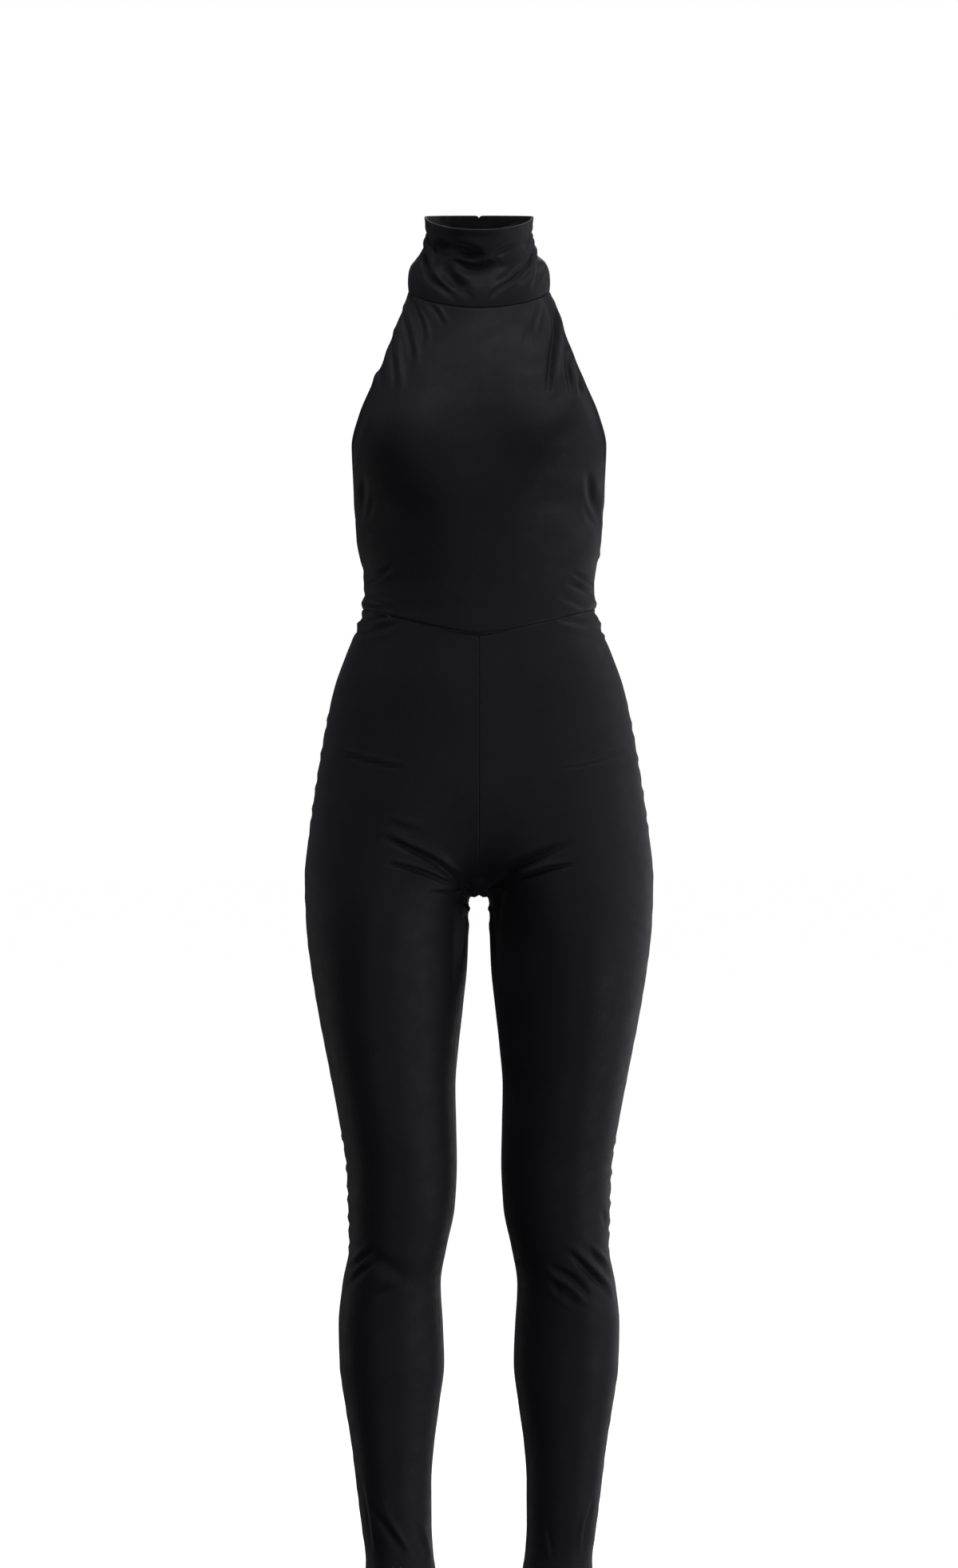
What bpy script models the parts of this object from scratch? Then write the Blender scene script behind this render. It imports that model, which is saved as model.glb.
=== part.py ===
"""Sleeveless halter-neck jumpsuit in black stretch knit, standing in its worn form.

Metres, +Z up.  The front of the garment faces -Y and the wearer's left is +X.
The origin is in the neck opening, level with the collar seam at the side of the neck.

Every panel is an open sheet that follows the garment's outer surface, with a Solidify
modifier that gives the cloth its thickness inwards.  Sections at named heights drive
that surface, and the panels stop half a seam gap short of each seam.
"""
import math
from collections import namedtuple

import bmesh
import bpy
from mathutils import Vector

MM = 0.001

# Cloth and seams
CLOTH = 1.5 * MM              # single knit layer, as worn
COLLAR_CLOTH = 2.6 * MM       # folded double
SEAM_GAP = 0.42 * MM          # clear space left between two pieces at a seam
COLLAR_SEAM_GAP = 0.60 * MM   # wider, as the two walls lean towards each other there
SEAM_STRIP = 3.0 * MM         # narrow strip of facets beside each seam

# Trousers: heights
CROTCH = -0.6430
CROTCH_DROP = 7 * MM          # the legs part over this height below the crotch
FLAT_CROTCH = 0.6 * MM        # rise of the nearly level cloth under the crotch
FRONT_RISE_CURVE = 0.190      # height over which the front legs merge above the crotch
BACK_RISE_CURVE = 0.260
RISE_POWER = 1.5
MERGE_ROUNDING = 16 * MM      # softens the change from one oval to two
INSEAM_REACH = 0.24           # share of the turn next to the inseam that the gap moves
TURN_POWER = 6.0              # how the facets crowd towards the middle where it cuts the oval
TURN_OFFSET = 1.5

# Waist seam: level at the sides, a shallow V at the front
WAIST_SIDE = -0.3390
WAIST_FRONT = -0.3680
WAIST_BACK = -0.3440
WAIST_POWER = 1.3

# Hem: a level that rises towards the front of the ankle
HEM_SIDE = -1.3620
HEM_SLOPE = 0.30
HEM_SLOPE_POWER = 6           # how soon the slope dies out up the leg

# Low back of the bodice
BACK_EDGE_SIDE = -0.2440
BACK_EDGE_CENTRE = -0.2900
BACK_EDGE_POWER = 1.6

# Collar: an oval tube that leans forward
COLLAR_BASE_FRONT = -0.0241
COLLAR_BASE_SIDE = 0.0
COLLAR_BASE_BACK = 0.0220
COLLAR_TOP_FRONT = 0.0572
COLLAR_TOP_SIDE = 0.0775
COLLAR_TOP_BACK = 0.0842
COLLAR_OPENING = 0.7 * MM     # slit at centre back
FRONT_SEAM_REACH = 100.0      # degrees round the collar, from centre front, that the bodice is sewn to

# Buttons and loops at centre back
BUTTON_RADIUS = 4.8 * MM
BUTTON_DOME = 3.2 * MM        # height of the dome over its rim
SHANK_RADIUS = 1.5 * MM
BUTTON_FROM_EDGE = 7.0 * MM
LOOP_CORD = 1.0 * MM          # radius of the loop's cord
LOOP_TAIL = 2.6 * MM          # how far the loop's ends lie from centre back
PROUD = 0.35 * MM             # clear space under and round what lies on a panel
CLOSURES = (("upper", 0.78), ("lower", 0.30))   # share of the collar's height at the back

# Sections of body and legs, top to bottom.  half_width is the outline from the front,
# side_depth is y at the outline, front_depth and back_depth are y at the middle.
Section = namedtuple("Section", "height half_width side_depth front_depth back_depth")
SECTIONS = (
    Section(-0.2420, 0.1312, 0.002, -0.101, 0.082),
    Section(-0.2680, 0.1294, 0.002, -0.097, 0.079),
    Section(-0.2930, 0.1245, 0.001, -0.094, 0.077),
    Section(-0.3145, 0.1219, 0.000, -0.092, 0.077),
    Section(-0.3360, 0.1237, 0.000, -0.092, 0.079),
    Section(-0.3610, 0.1305, 0.000, -0.094, 0.083),
    Section(-0.3870, 0.1408, 0.001, -0.097, 0.089),
    Section(-0.4210, 0.1530, 0.003, -0.101, 0.097),
    Section(-0.4630, 0.1625, 0.005, -0.103, 0.106),
    Section(-0.5230, 0.1728, 0.007, -0.103, 0.117),
    Section(-0.5740, 0.1801, 0.008, -0.101, 0.119),
    Section(-0.6250, 0.1851, 0.007, -0.098, 0.111),
    Section(-0.6760, 0.1832, 0.003, -0.096, 0.097),
    Section(-0.7180, 0.1782, 0.000, -0.094, 0.087),
    Section(-0.7610, 0.1711, -0.003, -0.091, 0.079),
    Section(-0.8240, 0.1588, -0.005, -0.086, 0.070),
    Section(-0.8880, 0.1469, -0.006, -0.080, 0.062),
    Section(-0.9310, 0.1404, -0.006, -0.073, 0.056),
    Section(-0.9730, 0.1387, -0.005, -0.067, 0.053),
    Section(-1.0160, 0.1377, -0.002, -0.060, 0.055),
    Section(-1.0580, 0.1449, 0.005, -0.053, 0.062),
    Section(-1.1010, 0.1492, 0.010, -0.048, 0.068),
    Section(-1.1430, 0.1482, 0.012, -0.045, 0.067),
    Section(-1.1860, 0.1423, 0.011, -0.042, 0.061),
    Section(-1.2280, 0.1355, 0.009, -0.040, 0.055),
    Section(-1.2710, 0.1301, 0.007, -0.038, 0.050),
    Section(-1.3130, 0.1248, 0.006, -0.037, 0.047),
    Section(-1.3560, 0.1189, 0.005, -0.036, 0.046),
    Section(-1.3900, 0.1160, 0.005, -0.036, 0.046),
)

# Half of the clear space between the legs.
LegGap = namedtuple("LegGap", "height half_gap")
LEG_GAPS = (
    LegGap(-0.6430, 0.0110),
    LegGap(-0.6590, 0.0113),
    LegGap(-0.6850, 0.0120),
    LegGap(-0.7180, 0.0134),
    LegGap(-0.7610, 0.0178),
    LegGap(-0.8030, 0.0225),
    LegGap(-0.8460, 0.0256),
    LegGap(-0.8880, 0.0248),
    LegGap(-0.9310, 0.0243),
    LegGap(-0.9730, 0.0264),
    LegGap(-1.0160, 0.0347),
    LegGap(-1.0580, 0.0413),
    LegGap(-1.1010, 0.0391),
    LegGap(-1.1430, 0.0378),
    LegGap(-1.1860, 0.0427),
    LegGap(-1.2280, 0.0485),
    LegGap(-1.2710, 0.0513),
    LegGap(-1.3130, 0.0513),
    LegGap(-1.3560, 0.0490),
    LegGap(-1.3900, 0.0485),
)

# Bodice front above the side seam, top to bottom.  edge_width and edge_depth are x and y at
# the armhole edge, middle_depth is y at centre front, wrap is how far round an oval the
# cloth has turned at that edge, in degrees.
Chest = namedtuple("Chest", "height edge_width edge_depth middle_depth wrap")
CHEST = (
    Chest(0.0040, 0.0749, 0.004, -0.060, 86.0),
    Chest(-0.0050, 0.0773, -0.010, -0.062, 80.0),
    Chest(-0.0344, 0.0857, -0.040, -0.071, 66.0),
    Chest(-0.0701, 0.0974, -0.060, -0.086, 56.0),
    Chest(-0.1045, 0.1114, -0.069, -0.098, 54.0),
    Chest(-0.1379, 0.1255, -0.068, -0.106, 60.0),
    Chest(-0.1702, 0.1336, -0.052, -0.109, 70.0),
    Chest(-0.2018, 0.1328, -0.025, -0.108, 80.0),
    Chest(-0.2420, 0.1312, 0.002, -0.101, 90.0),
)
NECK_BLEND = 0.065            # height below the collar seam over which the chest meets it

# Fullness of the bodice front over the bust, one soft rise each side
BUST_X = 0.078
BUST_HEIGHT = -0.166
BUST_RISE = 0.018
BUST_SPREAD_X = 0.046
BUST_SPREAD_UP = 0.066
BUST_SPREAD_DOWN = 0.052

# Collar rings, seam to rim.  share is the height as a share of the collar.
Ring = namedtuple("Ring", "share half_width front back centre")
COLLAR_RINGS = (
    Ring(0.00, 0.0749, 0.0620, 0.0560, 0.000),
    Ring(0.12, 0.0755, 0.0655, 0.0565, -0.001),
    Ring(0.26, 0.0745, 0.0655, 0.0560, -0.002),
    Ring(0.36, 0.0710, 0.0610, 0.0550, -0.003),
    Ring(0.48, 0.0640, 0.0570, 0.0540, -0.004),
    Ring(0.60, 0.0605, 0.0560, 0.0535, -0.005),
    Ring(0.72, 0.0578, 0.0555, 0.0535, -0.006),
    Ring(0.86, 0.0560, 0.0550, 0.0535, -0.007),
    Ring(1.00, 0.0563, 0.0545, 0.0530, -0.008),
)

# Largest drape folds of the collar: a trough (-) or ridge (+) between two places on it.  The
# places are degrees round from centre front, + towards the wearer's left, and shares of the
# height.  spread is its half width on a map of radians round by shares up.
FOLD_AT_ENDS = 0.35           # depth of a fold at its two ends, as a share of its middle's
FOLD_FADE_SEAM = 0.12         # share of the collar's height over which folds die out
FOLD_FADE_RIM = 0.15
CollarFold = namedtuple("CollarFold", "angle_a share_a angle_b share_b spread depth")
COLLAR_FOLDS = (
    CollarFold(-58, 0.66, -22, 0.10, 0.14, -3.2 * MM),
    CollarFold(-66, 0.50, -30, 0.02, 0.12, 2.2 * MM),
    CollarFold(-28, 0.55, 16, 0.55, 0.12, -3.0 * MM),
    CollarFold(-20, 0.40, 12, 0.38, 0.10, 1.8 * MM),
    CollarFold(52, 0.72, 18, 0.16, 0.10, -2.2 * MM),
    CollarFold(62, 0.52, 34, 0.06, 0.12, 2.0 * MM),
)

# Largest folds of the trousers, mirrored on both legs: x and height of the two ends of a
# trough (-) or ridge (+) on the front face.
LegFold = namedtuple("LegFold", "x_a height_a x_b height_b spread depth")
LEG_FOLDS = (
    LegFold(0.018, -0.634, 0.090, -0.585, 0.012, -3.0 * MM),
    LegFold(0.016, -0.640, 0.092, -0.612, 0.010, 2.2 * MM),
    LegFold(0.118, -1.010, 0.136, -1.045, 0.014, -3.0 * MM),
    LegFold(0.108, -1.028, 0.134, -1.062, 0.013, 2.4 * MM),
)

# Facets of each panel, and its rough size, which sets how wide a share SEAM_STRIP takes
TROUSER_COLUMNS = 9
TROUSER_WIDTH = 0.20
LEG_ROWS = 18
CROTCH_ROWS = (1.0, 0.55, 0.25, 0.06, 0.0)   # shares of CROTCH_DROP
HIP_ROWS = 10
HIP_ROW_POWER = 1.5           # how the rows crowd towards the crotch
BODICE_COLUMNS = 9
BODICE_WIDTH = 0.17
BODICE_ROWS = 17
BODICE_LENGTH = 0.36
BACK_COLUMNS = 8
BACK_WIDTH = 0.16
BACK_ROWS = 5
BACK_LENGTH = 0.08
COLLAR_COLUMNS = 40
COLLAR_LENGTH = 0.42
COLLAR_ROWS = 9
COLLAR_HEIGHT = 0.15
BUTTON_SIDES = 16
DOME_STEPS = 4
LOOP_BEND_STEPS = 8
PROBE_SHARE = 0.02            # steps along the collar that find its outward direction
PROBE_DEGREES = 1.0

BLACK_KNIT = (0.0125, 0.0128, 0.0140, 1.0)
KNIT_ROUGHNESS = 0.62
BUTTON_ROUGHNESS = 0.50


# ---------------------------------------------------------------- tables and curves

def read_table(table, height, field):
    """Value of one column at a height, on a smooth curve through the rows."""
    rows = sorted(table, key=lambda row: row[0])
    keys = [row[0] for row in rows]
    values = [getattr(row, field) for row in rows]
    if height <= keys[0]:
        return values[0]
    if height >= keys[-1]:
        return values[-1]
    upper = next(index for index, key in enumerate(keys) if key >= height)
    lower = upper - 1
    span = keys[upper] - keys[lower]
    share = (height - keys[lower]) / span
    slopes = [slope_at(keys, values, index) * span for index in (lower, upper)]
    return (
        values[lower] * (2 * share**3 - 3 * share**2 + 1)
        + slopes[0] * (share**3 - 2 * share**2 + share)
        + values[upper] * (3 * share**2 - 2 * share**3)
        + slopes[1] * (share**3 - share**2)
    )


def slope_at(keys, values, index):
    """Slope of a table's curve at one of its rows, level at a highest or lowest row."""
    if index in (0, len(keys) - 1):
        other = 1 if index == 0 else index - 1
        return (values[other] - values[index]) / (keys[other] - keys[index])
    before = (values[index] - values[index - 1]) / (keys[index] - keys[index - 1])
    after = (values[index + 1] - values[index]) / (keys[index + 1] - keys[index])
    if before * after <= 0:
        return 0.0
    return 2 * before * after / (before + after)


def smooth_step(value):
    """0 to 1 with level ends."""
    value = min(max(value, 0.0), 1.0)
    return value * value * (3 - 2 * value)


def mix(first, second, share):
    return first + (second - first) * share


def fold_rise(here, start, end, spread, depth):
    """Height of a soft fold that runs from start to end, at a place on the same flat map."""
    run = (end[0] - start[0], end[1] - start[1])
    length_squared = run[0] ** 2 + run[1] ** 2
    along = ((here[0] - start[0]) * run[0] + (here[1] - start[1]) * run[1]) / length_squared
    nearest = min(max(along, 0.0), 1.0)
    away = math.hypot(here[0] - start[0] - nearest * run[0], here[1] - start[1] - nearest * run[1])
    fade = mix(FOLD_AT_ENDS, 1.0, math.sin(math.pi * nearest))
    return depth * fade * math.exp(-((away / spread) ** 2))


def seam_spaced(count, size):
    """Shares from 0 to 1 for a count of facets, even but for a narrow strip at each end."""
    strip = SEAM_STRIP / size
    inner = count - 2
    return [0.0] + [mix(strip, 1 - strip, step / inner) for step in range(inner + 1)] + [1.0]


# ---------------------------------------------------------------- trousers

def oval_gap(height, half_width, rise_curve):
    """Where a leg's oval would end towards the middle: below 0 the middle plane cuts it."""
    merge = max(0.0, 1 - (height - CROTCH) / rise_curve) ** RISE_POWER
    merging = half_width * (merge - 1) / (merge + 1)
    parted = read_table(LEG_GAPS, height, "half_gap")
    return (merging + parted - math.hypot(merging - parted, MERGE_ROUNDING)) / 2


def inseam_gap(height):
    """Half of the clear space between the legs: an arch under the crotch, then the table."""
    below = min(max((CROTCH - height) / CROTCH_DROP, 0.0), 1.0)
    return read_table(LEG_GAPS, height, "half_gap") * math.sqrt(1 - (1 - below) ** 2)


def trouser_point(is_front, turn, height):
    """Point on the trousers: turn goes from 0 at the side seam to 1 at the inner seam."""
    half_width = read_table(SECTIONS, height, "half_width")
    side_depth = read_table(SECTIONS, height, "side_depth")
    rise_curve = FRONT_RISE_CURVE if is_front else BACK_RISE_CURVE
    reach = read_table(SECTIONS, height, "front_depth" if is_front else "back_depth") - side_depth
    gap = oval_gap(height, half_width, rise_curve)
    radius = (half_width - gap) / 2
    centre = half_width - radius
    cut_turn = math.pi if gap > 0 else math.acos(-centre / radius)
    rest_of_turn = math.pi - cut_turn if height <= CROTCH else 0.0
    inner = smooth_step((turn - 1 + INSEAM_REACH) / INSEAM_REACH)
    towards_inner = turn ** (TURN_POWER * cut_turn / math.pi - TURN_OFFSET)
    angle = math.pi * turn - (math.pi - cut_turn) * towards_inner + rest_of_turn * inner
    inner_edge = centre + radius * math.cos(cut_turn + rest_of_turn)
    x = centre + radius * math.cos(angle) + (inseam_gap(height) - inner_edge) * inner
    y = side_depth + reach * math.sin(angle)
    if is_front:
        for fold in LEG_FOLDS:
            place = (fold.x_a, fold.height_a), (fold.x_b, fold.height_b)
            y -= fold_rise((x, height), *place, fold.spread, fold.depth) * math.sin(angle)
    return x, y


def waist_height(is_front, across):
    """Height of the waist seam; across is 0 at the middle and 1 at the side."""
    return mix(WAIST_FRONT if is_front else WAIST_BACK, WAIST_SIDE, across**WAIST_POWER)


def share_across(is_front, turn, height):
    """How far out a point of the trousers is, as a share of the half width."""
    x, _ = trouser_point(is_front, turn, height)
    return max(x, 0.0) / read_table(SECTIONS, height, "half_width")


def hem_height(is_front, turn):
    """Height of the hem, which rises towards the front."""
    _, y = trouser_point(is_front, turn, HEM_SIDE)
    side_depth = read_table(SECTIONS, HEM_SIDE, "side_depth")
    return HEM_SIDE - HEM_SLOPE * (y - side_depth)


def trouser_heights():
    """Heights of the rows of facets, hem to waist, close together at the crotch."""
    around_crotch = [CROTCH - CROTCH_DROP * share for share in CROTCH_ROWS]
    below = [mix(HEM_SIDE, around_crotch[0], row / LEG_ROWS) for row in range(LEG_ROWS)]
    shares = [(row / HIP_ROWS) ** HIP_ROW_POWER for row in range(HIP_ROWS + 1)]
    above = [mix(CROTCH + FLAT_CROTCH, WAIST_SIDE, share) for share in shares]
    return below + around_crotch + above


def trouser_panel(is_front):
    """Rows of points of one trouser panel, hem to waist, side seam to inner seam."""
    rows = []
    heights = trouser_heights()
    turns = seam_spaced(TROUSER_COLUMNS, TROUSER_WIDTH)
    for height in heights:
        row = []
        for turn in turns:
            z = height
            if height < CROTCH - CROTCH_DROP:
                share = (CROTCH - CROTCH_DROP - height) / (CROTCH - CROTCH_DROP - HEM_SIDE)
                z += (hem_height(is_front, turn) - HEM_SIDE) * share**HEM_SLOPE_POWER
            elif height > CROTCH:
                share = (height - CROTCH) / (WAIST_SIDE - CROTCH)
                top = waist_height(is_front, share_across(is_front, turn, WAIST_SIDE)) - SEAM_GAP / 2
                z += (top - WAIST_SIDE) * smooth_step(share)
            x, y = trouser_point(is_front, turn, z)
            row.append(clear_of_seams(x, y, z, is_front, turn))
        rows.append(row)
    return rows


def clear_of_seams(x, y, z, is_front, turn):
    """Keeps a panel's edge half a seam gap from the panel beyond the seam."""
    towards = -1 if is_front else 1
    if turn == 0.0 or (turn == 1.0 and z <= CROTCH):
        y += towards * SEAM_GAP / 2
    return max(x, SEAM_GAP / 2), y, z


# ---------------------------------------------------------------- collar

def ring_value(share, field):
    return read_table(COLLAR_RINGS, share, field)


def collar_point(degrees, share):
    """Point on the collar's outer face."""
    angle = math.radians(degrees)
    ahead = math.cos(angle)
    reach = ring_value(share, "front") if ahead >= 0 else ring_value(share, "back")
    x = ring_value(share, "half_width") * math.sin(angle)
    y = ring_value(share, "centre") - reach * ahead
    if ahead >= 0:
        base = mix(COLLAR_BASE_SIDE, COLLAR_BASE_FRONT, ahead)
        top = mix(COLLAR_TOP_SIDE, COLLAR_TOP_FRONT, ahead)
    else:
        base = mix(COLLAR_BASE_SIDE, COLLAR_BASE_BACK, -ahead)
        top = mix(COLLAR_TOP_SIDE, COLLAR_TOP_BACK, -ahead)
    z = mix(base, top, share)
    rise = 0.0
    here = (angle, share)
    for fold in COLLAR_FOLDS:
        start = (math.radians(fold.angle_a), fold.share_a)
        end = (math.radians(fold.angle_b), fold.share_b)
        rise += fold_rise(here, start, end, fold.spread, fold.depth)
    rise *= smooth_step(share / FOLD_FADE_SEAM) * smooth_step((1 - share) / FOLD_FADE_RIM)
    return x + rise * math.sin(angle), y - rise * ahead, z


def collar_rows():
    """Rows of points of the collar, seam to rim, round from one back edge to the other."""
    half_slit = math.degrees(COLLAR_OPENING / 2 / ring_value(0.5, "half_width"))
    last = 180 - half_slit
    turns = seam_spaced(COLLAR_COLUMNS, COLLAR_LENGTH)
    shares = seam_spaced(COLLAR_ROWS, COLLAR_HEIGHT)
    return [[collar_point(mix(-last, last, turn), share) for turn in turns] for share in shares]


# ---------------------------------------------------------------- bodice

def bust_rise(x, height):
    """Extra fullness towards the front over the bust."""
    spread = BUST_SPREAD_UP if height > BUST_HEIGHT else BUST_SPREAD_DOWN
    across = (x - BUST_X) / BUST_SPREAD_X
    along = (height - BUST_HEIGHT) / spread
    return BUST_RISE * math.exp(-(across**2) - along**2)


def chest_point(turn, height):
    """Point on the bodice front: turn is 0 at centre front and 1 at the outer edge."""
    if height > CHEST[-1].height:
        edge_width = read_table(CHEST, height, "edge_width")
        edge_depth = read_table(CHEST, height, "edge_depth")
        middle_depth = read_table(CHEST, height, "middle_depth")
        wrap = math.radians(read_table(CHEST, height, "wrap"))
    else:
        edge_width = read_table(SECTIONS, height, "half_width")
        edge_depth = read_table(SECTIONS, height, "side_depth")
        middle_depth = read_table(SECTIONS, height, "front_depth")
        wrap = math.pi / 2
    angle = wrap * turn
    x = edge_width * math.sin(angle) / math.sin(wrap)
    y = mix(middle_depth, edge_depth, (1 - math.cos(angle)) / (1 - math.cos(wrap)))
    return x, y - bust_rise(x, height) * math.cos(angle)


def bodice_front_rows():
    """Rows of points, waist seam to collar seam, centre front to outer edge."""
    rows = []
    for share in seam_spaced(BODICE_ROWS, BODICE_LENGTH):
        row = []
        for turn in seam_spaced(BODICE_COLUMNS, BODICE_WIDTH):
            bottom = waist_height(True, math.sin(math.pi / 2 * turn)) + SEAM_GAP / 2
            top_x, top_y, top_z = collar_point(FRONT_SEAM_REACH * turn, 0.0)
            top_z -= COLLAR_SEAM_GAP
            z = mix(bottom, top_z, share)
            x, y = chest_point(turn, z)
            chest_x, chest_y = chest_point(turn, top_z)
            near_neck = smooth_step(1 - (top_z - z) / NECK_BLEND)
            x += (top_x - chest_x) * near_neck
            y += (top_y - chest_y) * near_neck
            if turn == 1.0:
                y -= SEAM_GAP / 2 * (1 - near_neck)
            row.append((max(x, SEAM_GAP / 2), y, z))
        rows.append(row)
    return rows


def bodice_back_rows():
    """Rows of points, waist seam to the low top edge, side seam to centre back."""
    rows = []
    for share in seam_spaced(BACK_ROWS, BACK_LENGTH):
        row = []
        for turn in seam_spaced(BACK_COLUMNS, BACK_WIDTH):
            across = share_across(False, turn, WAIST_SIDE)
            bottom = waist_height(False, across) + SEAM_GAP / 2
            top = mix(BACK_EDGE_CENTRE, BACK_EDGE_SIDE, across**BACK_EDGE_POWER)
            z = mix(bottom, top, share)
            x, y = trouser_point(False, turn, z)
            row.append(clear_of_seams(x, y, z, False, turn))
        rows.append(row)
    return rows


# ---------------------------------------------------------------- making the objects

def clear_scene():
    for item in list(bpy.data.objects):
        bpy.data.objects.remove(item, do_unlink=True)
    for group in list(bpy.data.collections):
        bpy.data.collections.remove(group)


def new_material(name, colour, roughness):
    material = bpy.data.materials.new(name)
    material.use_nodes = True
    shader = material.node_tree.nodes["Principled BSDF"]
    shader.inputs["Base Color"].default_value = colour
    shader.inputs["Roughness"].default_value = roughness
    shader.inputs["Metallic"].default_value = 0.0
    return material


def sheet_object(name, rows, thickness, collection, mirrored=False, flip=False):
    """One panel: a grid laid on the rows of points and given the cloth's thickness."""
    work = bmesh.new()
    across = len(rows[0])
    bmesh.ops.create_grid(work, x_segments=across - 1, y_segments=len(rows) - 1, size=0.5)
    work.verts.ensure_lookup_table()
    for vertex in work.verts:
        row = round((vertex.co.y + 0.5) * (len(rows) - 1))
        column = round((vertex.co.x + 0.5) * (across - 1))
        x, y, z = rows[row][column]
        vertex.co = (-x if mirrored else x, y, z)
    if flip != mirrored:
        bmesh.ops.reverse_faces(work, faces=work.faces)
    mesh = bpy.data.meshes.new(name)
    work.to_mesh(mesh)
    work.free()
    mesh.shade_smooth()
    panel = bpy.data.objects.new(name, mesh)
    collection.objects.link(panel)
    solid = panel.modifiers.new("cloth", "SOLIDIFY")
    solid.thickness = thickness
    solid.offset = -1.0
    panel.data.materials.append(new_material(name, BLACK_KNIT, KNIT_ROUGHNESS))
    return panel


def build_panels(collection):
    """All cloth panels; the wearer's left is +X and the right side mirrors it."""
    for side, mirrored in (("left", False), ("right", True)):
        sheet_object(f"bodice_front_{side}", bodice_front_rows(), CLOTH, collection, mirrored)
        sheet_object(f"bodice_back_{side}", bodice_back_rows(), CLOTH, collection, mirrored)
        sheet_object(f"trouser_front_{side}", trouser_panel(True), CLOTH, collection, mirrored, flip=True)
        sheet_object(f"trouser_back_{side}", trouser_panel(False), CLOTH, collection, mirrored)
    sheet_object("collar", collar_rows(), COLLAR_CLOTH, collection)


def back_of_collar(sideways, share, proud):
    """Place and outward direction behind the collar near centre back."""
    degrees = 180 - math.degrees(sideways / ring_value(share, "half_width"))
    place = Vector(collar_point(degrees, share))
    across = Vector(collar_point(degrees - PROBE_DEGREES, share)) - place
    upward = Vector(collar_point(degrees, share + PROBE_SHARE)) - place
    outward = upward.cross(across).normalized()
    return place + outward * proud, outward


def build_button(label, share, collection):
    """Domed button on a shank, a turned profile that stands on the left collar end."""
    rim = PROUD + 2 * LOOP_CORD + PROUD
    profile = [(0.0, rim + BUTTON_DOME)]
    for step in range(1, DOME_STEPS + 1):
        angle = math.pi / 2 * step / DOME_STEPS
        profile.append((BUTTON_RADIUS * math.sin(angle), rim + BUTTON_DOME * math.cos(angle)))
    profile += [(SHANK_RADIUS, rim), (SHANK_RADIUS, PROUD), (0.0, PROUD)]
    name = f"button_{label}"
    mesh = bpy.data.meshes.new(name)
    edges = [(step, step + 1) for step in range(len(profile) - 1)]
    mesh.from_pydata([(x, 0, z) for x, z in profile], edges, [])
    button = bpy.data.objects.new(name, mesh)
    collection.objects.link(button)
    turned = button.modifiers.new("turned", "SCREW")
    turned.steps = BUTTON_SIDES
    turned.render_steps = BUTTON_SIDES
    turned.use_merge_vertices = True
    turned.merge_threshold = 0.01 * MM
    turned.use_smooth_shade = True
    place, outward = back_of_collar(BUTTON_FROM_EDGE, share, 0.0)
    button.location = place
    button.rotation_euler = outward.to_track_quat("Z", "Y").to_euler()
    mesh.materials.append(new_material(name, BLACK_KNIT, BUTTON_ROUGHNESS))


def build_loop(label, share, collection):
    """Cord loop from the right collar end, round the button's shank and back."""
    bend = SHANK_RADIUS + PROUD + LOOP_CORD
    height = COLLAR_TOP_BACK - COLLAR_BASE_BACK
    route = [(-LOOP_TAIL, bend), (-LOOP_TAIL / 2, bend), (0.0, bend), (BUTTON_FROM_EDGE / 2, bend)]
    for step in range(LOOP_BEND_STEPS + 1):
        angle = math.pi / 2 - math.pi * step / LOOP_BEND_STEPS
        route.append((BUTTON_FROM_EDGE + bend * math.cos(angle), bend * math.sin(angle)))
    route += [(sideways, -bend) for sideways, _ in reversed(route[:4])]
    name = f"loop_{label}"
    curve = bpy.data.curves.new(name, "CURVE")
    curve.dimensions = "3D"
    curve.bevel_depth = LOOP_CORD
    curve.bevel_resolution = 2
    curve.use_fill_caps = True
    spline = curve.splines.new("POLY")
    spline.points.add(len(route) - 1)
    for point, (sideways, rise) in zip(spline.points, route):
        place, _ = back_of_collar(sideways, share + rise / height, PROUD + LOOP_CORD)
        point.co = (*place, 1.0)
    loop = bpy.data.objects.new(name, curve)
    collection.objects.link(loop)
    curve.materials.append(new_material(name, BLACK_KNIT, KNIT_ROUGHNESS))


def main():
    clear_scene()
    parts = bpy.data.collections.new("jumpsuit")
    bpy.context.scene.collection.children.link(parts)
    build_panels(parts)
    for label, share in CLOSURES:
        build_button(label, share, parts)
        build_loop(label, share, parts)


main()
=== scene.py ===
"""Looks of the black halter-neck jumpsuit, worn on no one: fine shells of knit cloth on the
packed panels, with their creases, turned edges, stitching, buttons, light and camera.

Metres, +Z up, front towards -Y, the wearer's left is +X.  Lengths in the tables of creases,
swells, puckers, rolls, scallops and bands are in millimetres, and so is each rise of the cloth.
"""

import math
from collections import namedtuple

import bmesh
import bpy
import numpy as np
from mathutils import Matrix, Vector, noise


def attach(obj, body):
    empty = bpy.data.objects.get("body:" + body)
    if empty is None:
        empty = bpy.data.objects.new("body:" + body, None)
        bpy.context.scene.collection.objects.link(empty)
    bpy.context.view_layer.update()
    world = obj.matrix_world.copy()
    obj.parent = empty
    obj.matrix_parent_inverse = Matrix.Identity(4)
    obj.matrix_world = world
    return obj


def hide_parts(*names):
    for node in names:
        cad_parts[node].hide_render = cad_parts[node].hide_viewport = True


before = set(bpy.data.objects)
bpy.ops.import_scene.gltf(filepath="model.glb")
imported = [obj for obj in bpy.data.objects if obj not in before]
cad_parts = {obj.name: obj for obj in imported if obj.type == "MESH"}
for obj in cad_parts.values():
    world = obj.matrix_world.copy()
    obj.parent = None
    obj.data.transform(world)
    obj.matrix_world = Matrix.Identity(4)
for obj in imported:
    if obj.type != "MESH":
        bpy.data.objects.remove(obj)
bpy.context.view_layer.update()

MM = 0.001

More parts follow.
